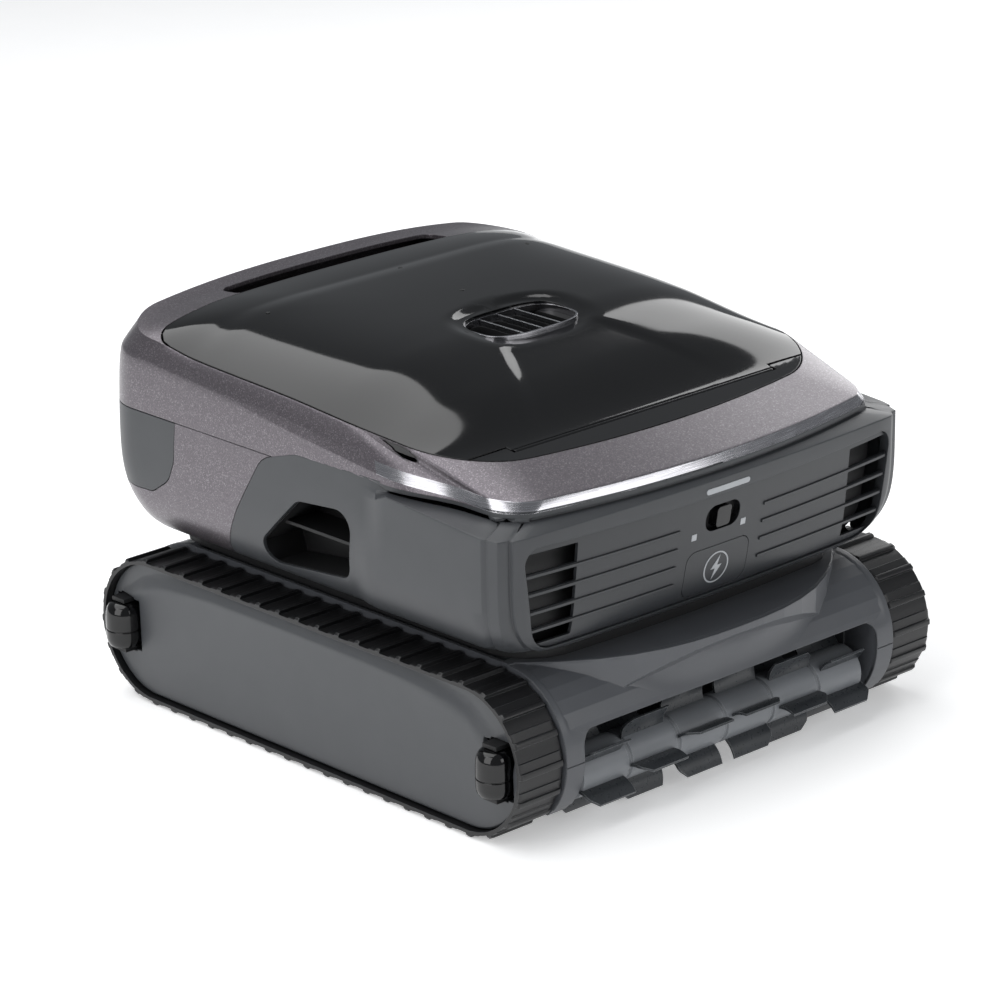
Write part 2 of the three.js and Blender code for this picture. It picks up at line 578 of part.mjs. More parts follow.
// ---- brush shrouds -----------------------------------------------------------------------------
// an arc about the wheel axle from the tub's top edge down to the front of the floor
const SHROUD_LOW = 0.85; // the cheeks end this far round under the axle, in radians
function shroudProfile(r) {
  const shape = new THREE.Shape();
  const back = -TUB_END - GAP;
  shape.moveTo(back, AXLE_Z + Math.sqrt(r * r - (back + AXLE_Y) ** 2));
  shape.absarc(-AXLE_Y, AXLE_Z, r, Math.acos((back + AXLE_Y) / r), Math.PI + SHROUD_LOW);
  const low = AXLE_Z - r * Math.sin(SHROUD_LOW);
  shape.lineTo(back, low);
  return shape;
}
const creasePlan = () => {
  const wide = CREASE_HALF_WIDTH;
  const root = AXLE_Y + 1.6;
  const points = [[-wide, -TUB_END - GAP], [wide, -TUB_END - GAP]];
  for (let step = 0; step <= 14; step += 1) {
    const x = wide - (2 * wide * step) / 14;
    points.push([x, -root - (CREASE_FRONT - root) * (1 - Math.abs(x / wide) ** 2.6)]);
  }
  return shapeOf(points);
};
const outerArc = prismX(shroudProfile(SHROUD_R), -TUB_HALF_WIDTH, TUB_HALF_WIDTH, 7);
const innerArc = (x0, x1) => prismX(shroudProfile(SHROUD_R - WALL), x0, x1, 7);
const lipSide = prismX(shapeOf([
  [-TUB_END - GAP, TUB_TOP], [-FAR, TUB_TOP], [-FAR, TUB_TOP - 4], [-CREASE_FRONT, TUB_TOP - 5],
  [-AXLE_Y - 47.6, TUB_TOP - 22], [-AXLE_Y - 39.6, TUB_TOP - 34], [-TUB_END - GAP, TUB_TOP - 34],
]), -CREASE_HALF_WIDTH, CREASE_HALF_WIDTH);
const lip = prismZ(creasePlan(), TUB_TOP - 48, TUB_TOP).intersect(lipSide);
const belowWindow = box(
  -WINDOW_HALF_WIDTH, WINDOW_HALF_WIDTH, -FAR, -AXLE_Y - 25.6, -10, WINDOW_TOP);
let frontShroud = outerArc.add(lip)
  .subtract(innerArc(-CHEEK_INNER + WALL, CHEEK_INNER - WALL))
  .subtract(innerArc(CHEEK_INNER, CHEEK_OUTER))
  .subtract(innerArc(-CHEEK_OUTER, -CHEEK_INNER))
  .subtract(belowWindow)
  .subtract(box(-WINDOW_HALF_WIDTH, WINDOW_HALF_WIDTH, -FAR, FAR, -10, 40));
// bores for the wheel axles in the outside walls and for the brush journals in the inside walls
frontShroud = frontShroud
  .subtract(rodX(AXLE_R + GAP, -FAR, -CHEEK_OUTER + 1, -AXLE_Y, AXLE_Z))
  .subtract(rodX(AXLE_R + GAP, CHEEK_OUTER - 1, FAR, -AXLE_Y, AXLE_Z))
  .subtract(rodX(JOURNAL_R + GAP, -CHEEK_INNER - 1, CHEEK_INNER + 1, -BRUSH_Y, BRUSH_HEIGHT));
piece('front_brush_shroud', frontShroud, MID_SHELL);
piece('rear_brush_shroud', mirrorY(frontShroud), MID_SHELL);

// ---- brushes -----------------------------------------------------------------------------------
function blade(x, angle, flip) {
  const foot = BRUSH_CORE_R - 2;
  const half = BLADE_LENGTH / 2;
  const outline = shapeOf([
    [-half, foot], [half, foot], [half, BRUSH_TIP_R - 6], [half - 7, BRUSH_TIP_R - 0.3],
    [-half, BRUSH_TIP_R - 0.3],
  ]);
  const geometry = extruded(outline, BLADE_THICKNESS).translate(0, 0, -BLADE_THICKNESS / 2);
  if (flip) {
    geometry.rotateY(Math.PI);
  }
  return solid(geometry.rotateX(angle).translate(x, 0, 0));
}

function brush(gearSide) {
  const geometry = new THREE.CylinderGeometry(
    BRUSH_CORE_R, BRUSH_CORE_R, BRUSH_HALF_LENGTH * 2, 14).rotateZ(Math.PI / 2);
  const parts = [solid(geometry)];
  const pitch = (BRUSH_HALF_LENGTH - 3) / BLADES_PER_HALF;
  for (const side of [-1, 1]) {
    for (let column = 0; column < BLADES_PER_HALF; column += 1) {
      for (let row = 0; row < BLADE_ROWS; row += 1) {
        const turn = (row + column / BLADES_PER_HALF) / BLADE_ROWS;
        parts.push(blade(side * (3 + pitch * (column + 0.5)), Math.PI * 2 * turn, side > 0));
      }
    }
  }
  const far = CHEEK_OUTER - 2;
  const near = CHEEK_INNER + 1;
  const [left, right] = gearSide < 0 ? [-far, near] : [-near, far];
  const shaft = new THREE.CylinderGeometry(JOURNAL_R, JOURNAL_R, right - left, 16).rotateZ(Math.PI / 2);
  parts.push(solid(shaft.translate((left + right) / 2, 0, 0)));
  return join(parts);
}

const meshAngle = Math.atan2(BRUSH_HEIGHT - AXLE_Z, -(BRUSH_Y - AXLE_Y)); // wheel axle to brush axis
const GEAR_NEAR = GEAR_FAR - GEAR_WIDTH;
// a tooth of the wheel gear faces the brush, so a gap of the brush gear faces the wheel
const brushFirst = meshAngle + Math.PI + Math.PI / BRUSH_TEETH;
const brushGear = gear(BRUSH_TEETH, -GEAR_FAR, -GEAR_NEAR, brushFirst, JOURNAL_R + GAP);
const frontBrushAt = [0, -BRUSH_Y, BRUSH_HEIGHT];
const rearBrushAt = [0, BRUSH_Y, BRUSH_HEIGHT];
piece('front_brush', brush(-1), BLADE_PLASTIC, frontBrushAt);
piece('front_brush_gear', brushGear, GEAR_PLASTIC, frontBrushAt);
piece('rear_brush', mirrorY(brush(1)), BLADE_PLASTIC, rearBrushAt);
piece('rear_brush_gear', mirrorX(mirrorY(brushGear)), GEAR_PLASTIC, rearBrushAt);

// ---- tracks ------------------------------------------------------------------------------------
// the belt's outline with its lugs, walked round the loop at equal steps
function loopPoint(distance, r) {
  const straight = WHEELBASE;
  const bend = Math.PI * (BELT_OUTER_R - LUG_HEIGHT);
  const total = 2 * straight + 2 * bend;
  let place = ((distance % total) + total) % total;
  if (place < straight) {
    return [-AXLE_Y + place, AXLE_Z + r];
  }
  place -= straight;
  if (place < bend) {
    const angle = Math.PI / 2 - (place / bend) * Math.PI;
    return [AXLE_Y + r * Math.cos(angle), AXLE_Z + r * Math.sin(angle)];
  }
  place -= bend;
  if (place < straight) {
    return [AXLE_Y - place, AXLE_Z - r];
  }
  const angle = -Math.PI / 2 - ((place - straight) / bend) * Math.PI;
  return [-AXLE_Y + r * Math.cos(angle), AXLE_Z + r * Math.sin(angle)];
}

function beltSolid() {
  const base = BELT_OUTER_R - LUG_HEIGHT;
  const pitch = (2 * WHEELBASE + 2 * Math.PI * base) / LUG_COUNT;
  const points = [];
  for (let lug = 0; lug < LUG_COUNT; lug += 1) {
    const from = lug * pitch;
    const to = from + pitch * LUG_SHARE;
    points.push(loopPoint(from, base), loopPoint(from + 1, BELT_OUTER_R));
    points.push(loopPoint(to - 1, BELT_OUTER_R), loopPoint(to, base));
  }
  const shape = shapeOf(points.reverse());
  const inside = stadium(BELT_INNER_R).getPoints(12);
  shape.holes.push(new THREE.Path(inside));
  return prismX(shape, -TRACK_OUTER, -TRACK_INNER);
}
const belt = beltSolid();
piece('left_belt', belt, RUBBER);
piece('right_belt', mirrorX(belt), RUBBER);

// twin-rim wheel with a web in the middle, fixed on its axle
function wheel() {
  const inner = TRACK_INNER + 1;
  const outer = COVER_FACE - COVER_THICKNESS - 1;
  const web = BRACKET_X - BRACKET_TO_WEB;
  const points = [
    [AXLE_R + GAP, web - 6], [WHEEL_R - WHEEL_RIM, web - 2], [WHEEL_R - WHEEL_RIM, inner],
    [WHEEL_R, inner], [WHEEL_R, outer], [WHEEL_R - WHEEL_RIM, outer],
    [WHEEL_R - WHEEL_RIM, web + 2], [AXLE_R + GAP, web + 6], [AXLE_R + GAP, web - 6],
  ];
  const profile = points.map(([r, x]) => new THREE.Vector2(r, x));
  return solid(new THREE.LatheGeometry(profile, 20).rotateZ(-Math.PI / 2));
}

// an axle runs from inside the cheek to the boss of the side cover; some carry a gear
function axle(withGear) {
  const start = CHEEK_INNER + GAP;
  const end = COVER_FACE - 2;
  const geometry = new THREE.CylinderGeometry(AXLE_R, AXLE_R, end - start, 14).rotateZ(Math.PI / 2);
  let shaft = solid(geometry.translate((start + end) / 2, 0, 0));
  if (withGear) {
    shaft = shaft.add(withGear);
  }
  return shaft;
}

const wheelShape = wheel();
// a tooth of the left-hand wheel gear faces the brush; a gap of the pinion faces a wheel tooth
const wheelStep = (Math.PI * 2) / WHEEL_TEETH;
const wheelGearFirst = meshAngle;
const wheelGear = gear(WHEEL_TEETH, GEAR_NEAR, GEAR_FAR, wheelGearFirst, 0);
for (const [side, sideName] of [[-1, 'left'], [1, 'right']]) {
  for (const [end, endName] of [[-1, 'front'], [1, 'rear']]) {
    const at = [0, end * AXLE_Y, AXLE_Z];
    const geared = end < 0 || side > 0;
    const gearShape = end < 0 ? wheelGear : mirrorY(wheelGear);
    const shaft = axle(geared ? gearShape : null);
    piece(`${endName}_${sideName}_wheel`, side > 0 ? wheelShape : mirrorX(wheelShape), INNER_PLASTIC, at);
    piece(`${endName}_${sideName}_axle`, side > 0 ? shaft : mirrorX(shaft), STEEL, at);
  }
}

// drive motors stand in pockets of the tub and turn the wheel gears through pinions
const teethToPinion = Math.round((0 - wheelGearFirst) / wheelStep);
const nearestTooth = wheelGearFirst + teethToPinion * wheelStep; // the wheel tooth nearest to the pinion
const pinionFirst = Math.PI - nearestTooth * (WHEEL_TEETH / PINION_TEETH) + Math.PI / PINION_TEETH;
const MOTOR_R = 17;
const MOTOR_LENGTH = 52;
const motorAt = [0, -MOTOR_Y, AXLE_Z];
const pinionGear = gear(PINION_TEETH, GEAR_NEAR, GEAR_FAR, pinionFirst, 0);
const motorShaft = new THREE.CylinderGeometry(
  AXLE_R - 1.5, AXLE_R - 1.5, GEAR_FAR + 2 - (CHEEK_INNER - WALL - 6), 16).rotateZ(Math.PI / 2);
const pinion = pinionGear.add(solid(motorShaft.translate((GEAR_FAR + 2 + CHEEK_INNER - WALL - 6) / 2, 0, 0)));
const motorFace = CHEEK_INNER - WALL - GAP;
const motor = rodX(MOTOR_R, motorFace - MOTOR_LENGTH, motorFace, 0, 0, 20)
  .subtract(rodX(AXLE_R - 1.2, motorFace - 10, motorFace + 1, 0, 0, 16));
piece('left_drive_motor', mirrorX(motor), STEEL, motorAt);
piece('right_drive_motor', motor, STEEL, motorAt);
piece('left_pinion', mirrorX(pinion), STEEL, motorAt);
piece('right_pinion', pinion, STEEL, motorAt);

// pod frames hold the belt's long runs and the side covers
const POD_HALF_LENGTH = AXLE_Y - 62.4;
const podOuter = roundedRect(-POD_HALF_LENGTH, POD_HALF_LENGTH,
  AXLE_Z - BELT_INNER_R + GAP, AXLE_Z + BELT_INNER_R - GAP, 6);
podOuter.holes.push(roundedRect(-POD_HALF_LENGTH + 5, POD_HALF_LENGTH - 5,
  AXLE_Z - BELT_INNER_R + 6, AXLE_Z + BELT_INNER_R - 6, 4));
const pod = prismX(podOuter, TUB_HALF_WIDTH + GAP, COVER_FACE - COVER_THICKNESS - GAP);
piece('left_pod_frame', mirrorX(pod), INNER_PLASTIC);
piece('right_pod_frame', pod, INNER_PLASTIC);

// side covers with sockets for the axle ends and pockets for the guide rollers
const EAR = 3; // thickness of a roller bracket's ears
const earLow = AXLE_Z - ROLLER_HEIGHT / 2 - GAP - EAR;
const earHigh = AXLE_Z + ROLLER_HEIGHT / 2 + GAP + EAR;
const rollerPocket = join([-1, 1].map((end) => rodZ(
  ROLLER_R + 1.5, earLow + EAR, earHigh - EAR, ROLLER_X, end * ROLLER_Y).add(box(
  0, FAR, end * ROLLER_Y - 9 - GAP, end * ROLLER_Y + 9 + GAP, earLow - GAP, earHigh + GAP))));
let cover = prismX(stadium(BELT_INNER_R - 0.7), COVER_FACE - COVER_THICKNESS, COVER_FACE, 8);
for (const end of [-1, 1]) {
  cover = cover.subtract(rodX(AXLE_R + GAP, 0, COVER_FACE - 1.5, end * AXLE_Y, AXLE_Z));
}
cover = cover.subtract(rollerPocket);
piece('left_side_cover', mirrorX(cover), DARK_SHELL);
piece('right_side_cover', cover, DARK_SHELL);

// a roller bracket reaches through the cover with two ears that hold the pin, and two tabs
// lie against the cover's back
function bracket() {
  const plateX = BRACKET_X;
  const backX = plateX + 3;
  const tabX = COVER_FACE - COVER_THICKNESS - GAP;
  return join([
    box(plateX, backX, ROLLER_Y - 9, ROLLER_Y + 9, earLow, earHigh),
    box(plateX, ROLLER_X + 5, ROLLER_Y - 7, ROLLER_Y + 7, earLow, earLow + EAR),
    box(plateX, ROLLER_X + 5, ROLLER_Y - 7, ROLLER_Y + 7, earHigh - EAR, earHigh),
    box(tabX - 2.5, tabX, ROLLER_Y - 7, ROLLER_Y + 7, earLow - 5, earLow + 1),
    box(tabX - 2.5, tabX, ROLLER_Y - 7, ROLLER_Y + 7, earHigh - 1, earHigh + 5),
    rodZ(ROLLER_PIN_R, earLow + 1, earHigh - 1, ROLLER_X, ROLLER_Y, 12),
  ]);
}
const rollerProfile = [[ROLLER_PIN_R + GAP, 0], [ROLLER_R, 0], [ROLLER_R, ROLLER_HEIGHT / 2 - 1],
  [ROLLER_R - 1, ROLLER_HEIGHT / 2], [ROLLER_R, ROLLER_HEIGHT / 2 + 1],
  [ROLLER_R * 0.9, ROLLER_HEIGHT * 0.8], [ROLLER_R * 0.45, ROLLER_HEIGHT], [ROLLER_PIN_R + GAP, ROLLER_HEIGHT], [ROLLER_PIN_R + GAP, 0]];
const roller = solid(new THREE.LatheGeometry(
  rollerProfile.map(([r, z]) => new THREE.Vector2(r, z)), 16).rotateX(Math.PI / 2));
for (const [side, sideName] of [[-1, 'left'], [1, 'right']]) {
  for (const [end, endName] of [[-1, 'front'], [1, 'rear']]) {
    const ears = end > 0 ? bracket() : mirrorY(bracket());
    piece(`${endName}_${sideName}_roller_bracket`, side > 0 ? ears : mirrorX(ears), INNER_PLASTIC);
    piece(`${endName}_${sideName}_roller`, roller, BLACK_GLOSS,
      [side * ROLLER_X, end * ROLLER_Y, AXLE_Z - ROLLER_HEIGHT / 2]);
  }
}

// ---- inside ------------------------------------------------------------------------------------
// a sealed deck over the front of the tub carries the pump
const DECK_REAR = 38;
const DECK_TOP = TUB_TOP + GAP + 4;
piece('tub_deck', box(-CHEEK_INNER, CHEEK_INNER, -TUB_END + 1, DECK_REAR, TUB_TOP + GAP, DECK_TOP), INNER_PLASTIC);
piece('battery_pack', box(-64, 64, -116, 24, FLOOR_TOP + GAP, 72), [0x2b4a6b, 0.5, 0]);
piece('control_box', box(-60, 60, -112, 20, 72 + GAP, 104), INNER_PLASTIC);

const PUMP_R = 24;
const PUMP_TOP = 196;
const pumpFoot = rodZ(34, DECK_TOP + GAP, DECK_TOP + 5, 0, VENT_Y, 24);
piece('pump_motor', pumpFoot.add(rodZ(PUMP_R, DECK_TOP + 4, PUMP_TOP, 0, VENT_Y, 24))
  .add(rodZ(3, PUMP_TOP - 1, PUMP_TOP + 24, 0, VENT_Y, 12)), STEEL);
function impeller() {
  const low = PUMP_TOP + 3;
  const parts = [rodZ(11, low, low + 18, 0, VENT_Y, 18)];
  for (let vane = 0; vane < 5; vane += 1) {
    const plate = new THREE.BoxGeometry(IMPELLER_R - 8, 2, 17);
    plate.rotateX(0.5).translate((IMPELLER_R + 8) / 2, 0, 0).rotateZ((Math.PI * 2 * vane) / 5);
    parts.push(solid(plate.translate(0, VENT_Y, low + 9)));
  }
  return join(parts).subtract(rodZ(3 + GAP, 0, low + 22, 0, VENT_Y, 12));
}
piece('impeller', impeller(), GEAR_PLASTIC);
// a tube round the motor and the impeller, open to the inside through legs at its foot
const DUCT_TOP = 280;
let duct = rodZ(DUCT_R, DECK_TOP + GAP, DUCT_TOP, 0, VENT_Y, 18)
  .subtract(rodZ(DUCT_R - 2.5, 0, FAR * 2, 0, VENT_Y, 18));
duct = duct.subtract(box(-FAR, FAR, VENT_Y - 22, VENT_Y + 22, DECK_TOP + 12, 180))
  .subtract(box(-22, 22, -FAR, FAR, DECK_TOP + 12, 180));
piece('pump_duct', duct, INNER_PLASTIC);

// basket
const BASKET_FLOOR = FLOOR_TOP + 4 + GAP;
const basketSide = 50; // window edges stand this far in from the basket's corners
const basket = box(-BASKET_HALF_WIDTH, BASKET_HALF_WIDTH, BASKET_FRONT, BASKET_REAR, BASKET_FLOOR, BASKET_TOP)
  .subtract(box(-BASKET_HALF_WIDTH + BASKET_WALL, BASKET_HALF_WIDTH - BASKET_WALL,
    BASKET_FRONT + BASKET_WALL, BASKET_REAR - BASKET_WALL, BASKET_FLOOR + BASKET_WALL, FAR))
  .subtract(intakeHole)
  .subtract(box(-BASKET_HALF_WIDTH + basketSide, BASKET_HALF_WIDTH - basketSide, 0, 100, 90, 220));
piece('basket_tub', basket, INNER_PLASTIC);
piece('basket_screen', box(-BASKET_HALF_WIDTH + basketSide - 6, BASKET_HALF_WIDTH - basketSide + 6,
  BASKET_FRONT + BASKET_WALL + GAP, BASKET_FRONT + BASKET_WALL + GAP + 1.2, 84, 226), [0xb9bcc0, 0.5, 0]);
const BAIL_Z = BASKET_TOP - 12;
const BAIL_Y = (BASKET_FRONT + BASKET_REAR) / 2;
const bailArm = (side) => box(
  Math.min(side * (BASKET_HALF_WIDTH - 9), side * (BASKET_HALF_WIDTH - BASKET_WALL - GAP)),
  Math.max(side * (BASKET_HALF_WIDTH - 9), side * (BASKET_HALF_WIDTH - BASKET_WALL - GAP)),
  BAIL_Y - 4, BASKET_REAR - BASKET_WALL - 2, BAIL_Z - 4, BAIL_Z + 4);
piece('basket_bail', join([
  bailArm(-1), bailArm(1),
  box(-BASKET_HALF_WIDTH + 8, BASKET_HALF_WIDTH - 8, BASKET_REAR - BASKET_WALL - 12,
    BASKET_REAR - BASKET_WALL - 2, BAIL_Z - 4, BAIL_Z + 4),
]), GEAR_PLASTIC);
const FLAP_Z = BASKET_FLOOR + BASKET_WALL + GAP + 1.5;
piece('intake_flap', box(-INTAKE_HALF_WIDTH - 3, INTAKE_HALF_WIDTH + 3, INTAKE_FRONT - 4, INTAKE_REAR + 3,
  FLAP_Z - 1.5, FLAP_Z + 0.5)
  .add(rodX(1.5, -INTAKE_HALF_WIDTH - 8, INTAKE_HALF_WIDTH + 8, INTAKE_FRONT - 5, FLAP_Z, 10)), RUBBER);

export default root;
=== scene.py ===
# %% [markdown]
# # A cordless pool cleaner, finished in Blender
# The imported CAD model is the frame: it gives every piece its place, its size and the body that it
# moves with. This lesson puts fine surfaces and real finishes round that frame, and every piece is
# in metres, in the same place as the CAD piece that it stands for. Outlines are written in
# millimetres, as on a drawing, and one helper turns them into metres.

# %% Load the frame
import bisect
import math
import random

import bmesh
import bpy
from mathutils import Matrix, Vector
from mathutils.bvhtree import BVHTree


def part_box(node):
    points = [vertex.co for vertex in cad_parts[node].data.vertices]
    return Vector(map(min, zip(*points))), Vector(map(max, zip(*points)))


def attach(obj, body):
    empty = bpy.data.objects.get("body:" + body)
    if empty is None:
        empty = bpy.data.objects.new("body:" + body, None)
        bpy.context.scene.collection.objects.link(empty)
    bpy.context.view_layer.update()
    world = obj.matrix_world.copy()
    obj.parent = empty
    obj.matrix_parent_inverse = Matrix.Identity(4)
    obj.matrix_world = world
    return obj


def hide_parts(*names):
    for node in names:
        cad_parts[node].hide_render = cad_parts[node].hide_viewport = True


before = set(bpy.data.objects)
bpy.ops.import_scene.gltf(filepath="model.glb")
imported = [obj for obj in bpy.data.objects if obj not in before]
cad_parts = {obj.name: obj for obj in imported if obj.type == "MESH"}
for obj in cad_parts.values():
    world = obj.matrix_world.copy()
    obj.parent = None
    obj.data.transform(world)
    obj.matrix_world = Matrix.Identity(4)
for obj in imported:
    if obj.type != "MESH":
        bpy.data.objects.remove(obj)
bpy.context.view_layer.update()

MM = 0.001


def place(node):
    """A CAD node's lowest and highest corner, in millimetres."""
    low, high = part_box(node)
    return Vector(low) / MM, Vector(high) / MM


# %% [markdown]
# The camera comes first. It stands well back with a long lens, so the machine looks as calm as in
# a catalogue picture, and it turns round the origin by an azimuth, an elevation and a small roll.

# %% Camera
AZIMUTH, ELEVATION, ROLL = (math.radians(v) for v in (-43.06, 19.47, -0.86))
DISTANCE, SLIDE_X, SLIDE_Y = 3292.26, -8.53, 32.26
TARGET = Vector((0, 0, 120))
back = Vector((math.sin(AZIMUTH) * math.cos(ELEVATION),
               -math.cos(AZIMUTH) * math.cos(ELEVATION), math.sin(ELEVATION)))
right = Vector((math.cos(AZIMUTH), math.sin(AZIMUTH), 0))
above = back.cross(right)
camera = bpy.data.objects.new("camera", bpy.data.cameras.new("camera"))
bpy.context.collection.objects.link(camera)
camera.data.lens, camera.data.sensor_width = 157.43, 36
camera.data.clip_end = 100
turned = (right * math.cos(ROLL) + above * math.sin(ROLL),
          above * math.cos(ROLL) - right * math.sin(ROLL), back)
camera.matrix_world = Matrix.Translation(
    (TARGET + back * DISTANCE + right * SLIDE_X + above * SLIDE_Y) * MM) @ Matrix(turned).transposed().to_4x4()
bpy.context.scene.camera = camera
print("camera at", tuple(round(v, 3) for v in camera.location))

# %% [markdown]
# Soft studio light: one wide softbox overhead and a little behind, which draws the long bright
# bands on the gloss lid and on the shoulders, a tall one at the left and a smaller one in front.
# The floor is plain and nearly white, and the room above it is dim, so that black stays black.

# %% Floor, room and lights
def softbox(name, size, at, aim, watts):
    """An area light of the given width and height that faces a point."""
    lamp = bpy.data.lights.new(name, "AREA")
    lamp.shape, lamp.energy = "RECTANGLE", watts
    lamp.size, lamp.size_y = size
    made = bpy.data.objects.new(name, lamp)
    bpy.context.collection.objects.link(made)
    made.location = at
    made.rotation_euler = (Vector(aim) - Vector(at)).to_track_quat("-Z", "Y").to_euler()
    return made


def linear(code):
    """An sRGB hex colour as linear RGBA."""
    parts = [int(code[i:i + 2], 16) / 255 for i in (1, 3, 5)]
    return tuple(v / 12.92 if v <= 0.04045 else ((v + 0.055) / 1.055) ** 2.4 for v in parts) + (1.0,)


def node(tree, kind, inputs=None, **settings):
    """Adds a node with its settings; an input is a value or the socket that it is linked from."""
    made = tree.nodes.new(kind)
    for key, value in settings.items():
        setattr(made, key, value)
    for socket, value in (inputs or {}).items():
        if isinstance(value, bpy.types.NodeSocket):
            tree.links.new(value, made.inputs[socket])
        else:
            made.inputs[socket].default_value = value
    return made


world = bpy.data.worlds.new("dim room")
world.use_nodes = True
bpy.context.scene.world = world
world.node_tree.nodes["Background"].inputs["Color"].default_value = linear("#d9dde2")
world.node_tree.nodes["Background"].inputs["Strength"].default_value = 0.32
softbox("overhead", (3.0, 2.2), (-0.35, 0.7, 2.3), (0, 0, 0.2), 44)
softbox("left_wall", (1.8, 2.2), (-2.3, -0.2, 1.3), (-0.1, 0, 0.15), 30)
softbox("front_fill", (2.2, 1.0), (0.7, -2.5, 1.1), (0, 0, 0.12), 16)
softbox("right_rim", (1.0, 1.6), (2.1, 0.7, 1.0), (0.1, 0, 0.15), 13)
bpy.context.scene.view_settings.view_transform = "Standard"

# %% [markdown]
# Most surfaces here are one of two things. A moulded plastic is an even colour with a very fine
# grain from the tool's surface, a little cloudiness in its gloss, and edges rounded by the mould;
# so one function makes that family, and each plastic brings its own numbers. The rounded edges are
# drawn by a bevel node, because an edge radius under a millimetre is too fine to be worth faces.

# %% A family of moulded plastics
def moulded(name, dark, light, gloss, grain, depth, coat=0.0, edge=0.5, painted_edge_highlight=None):
    """Colours for the two ends of its cloudiness, roughness range, grain size and depth in mm; an optional paler colour
    is painted on rounded edges as a highlight.
    """
    made = bpy.data.materials.new(name)
    made.use_nodes = True
    tree = made.node_tree
    shader = tree.nodes["Principled BSDF"]
    where = node(tree, "ShaderNodeTexCoord").outputs["Object"]
    cloud = node(tree, "ShaderNodeTexNoise", {"Vector": where, "Scale": 1 / (22 * MM), "Detail": 4.0})
    tint = node(tree, "ShaderNodeMix", {"Factor": cloud.outputs["Fac"], 6: linear(dark), 7: linear(light)},
                data_type="RGBA")
    fine = node(tree, "ShaderNodeTexNoise",
                {"Vector": where, "Scale": 1 / (grain * MM), "Detail": 3.0, "Roughness": 0.6})
    rough = node(tree, "ShaderNodeMapRange",
                 {"Value": fine.outputs["Fac"], "To Min": gloss[0], "To Max": gloss[1]})
    rounded_edge = node(tree, "ShaderNodeBevel", {"Radius": edge * MM}, samples=4)
    bump = node(tree, "ShaderNodeBump",
                {"Height": fine.outputs["Fac"], "Strength": 1.0, "Distance": depth * MM,
                 "Normal": rounded_edge.outputs["Normal"]})
    colour = tint.outputs[2]
    if painted_edge_highlight:
        # painted highlight on thin edges: where the rounded normal leaves the face's own, a paler tone is mixed in, as
        # if the edge caught the light
        face = node(tree, "ShaderNodeNewGeometry").outputs["Normal"]
        turn = node(tree, "ShaderNodeVectorMath", {0: face, 1: rounded_edge.outputs["Normal"]},
                    operation="DOT_PRODUCT")
        edge_highlight_mask = node(tree, "ShaderNodeMapRange",
                     {"Value": turn.outputs["Value"], "From Min": 0.995, "From Max": 0.86})
        colour = node(tree, "ShaderNodeMix", {"Factor": edge_highlight_mask.outputs["Result"], 6: colour, 7: linear(painted_edge_highlight)},
                      data_type="RGBA").outputs[2]
    tree.links.new(colour, shader.inputs["Base Color"])
    tree.links.new(rough.outputs["Result"], shader.inputs["Roughness"])
    tree.links.new(bump.outputs["Normal"], shader.inputs["Normal"])
    shader.inputs["IOR"].default_value = 1.5
    shader.inputs["Coat Weight"].default_value = coat
    shader.inputs["Coat Roughness"].default_value = 0.04
    return made


# %% Plastics and rubber of this machine
# Piano-black polycarbonate: polished in the mould, so it mirrors the room with a trace of orange peel.
piano_black = moulded("piano_black_polycarbonate", "#070708", "#0a0a0b", (0.05, 0.08), 9.0, 0.004, edge=0.8)
# Dark ABS of the cowl: spark-eroded tool, a satin with a grain of half a millimetre.
dark_abs = moulded("dark_grey_abs", "#36383b", "#3d3f42", (0.36, 0.46), 0.5, 0.008, edge=1.0)
# The fascia's field is the same ABS, a tone darker.
field_abs = moulded("charcoal_abs", "#2b2d30", "#303235", (0.34, 0.42), 0.5, 0.006, edge=0.6)
# Mid-grey ABS of the shrouds and side covers: smoother, so it shows soft broad highlights.
grey_abs = moulded("mid_grey_abs", "#4a4c50", "#515357", (0.30, 0.38), 0.6, 0.006, edge=1.0)
cover_abs = moulded("side_cover_abs", "#3c3e41", "#424447", (0.32, 0.40), 0.6, 0.006, edge=1.2)
# Nitrile rubber of the belts: nearly black, with a semi-gloss skin from the vulcanising mould, and a painted highlight
# along its edges.
belt_rubber = moulded("moulded_nitrile_rubber", "#0d0d0e", "#141416", (0.30, 0.46), 1.2, 0.02,
                      edge=0.5, painted_edge_highlight="#4c4e50")
# Unpainted black polypropylene inside, dull, so that openings look deep.
inner_black = moulded("black_polypropylene", "#08080a", "#0d0e10", (0.5, 0.65), 0.8, 0.01)
# Brush blades of cast polyurethane: dark and satin, with a painted highlight along their edges.
blade_plastic = moulded("cast_polyurethane", "#2c2f32", "#3a3d40", (0.22, 0.36), 3.0, 0.02,
                        edge=0.5, painted_edge_highlight="#9a9da0")
# The light grey nylon core, with a painted highlight along its edges.
core_plastic = moulded("light_grey_nylon", "#6d7074", "#7c7f83", (0.30, 0.42), 1.0, 0.01, painted_edge_highlight="#a9acb0")
gear_plastic = moulded("white_acetal", "#c3c1b8", "#d3d1c8", (0.32, 0.42), 0.8, 0.006)
lens_plastic = moulded("frosted_acrylic", "#9b9ea2", "#aeb1b4", (0.30, 0.40), 0.6, 0.004, coat=0.3)
print("plastics", len(bpy.data.materials))

# %% [markdown]
# The cover is sprayed with a metallic paint: aluminium flakes lie almost flat in a warm dark binder
# under a satin clear coat. The flakes are a few hundredths of a millimetre, too fine to show, so
# they are drawn 0.7 mm wide, each cell of a Voronoi pattern with its own brightness and tilt.

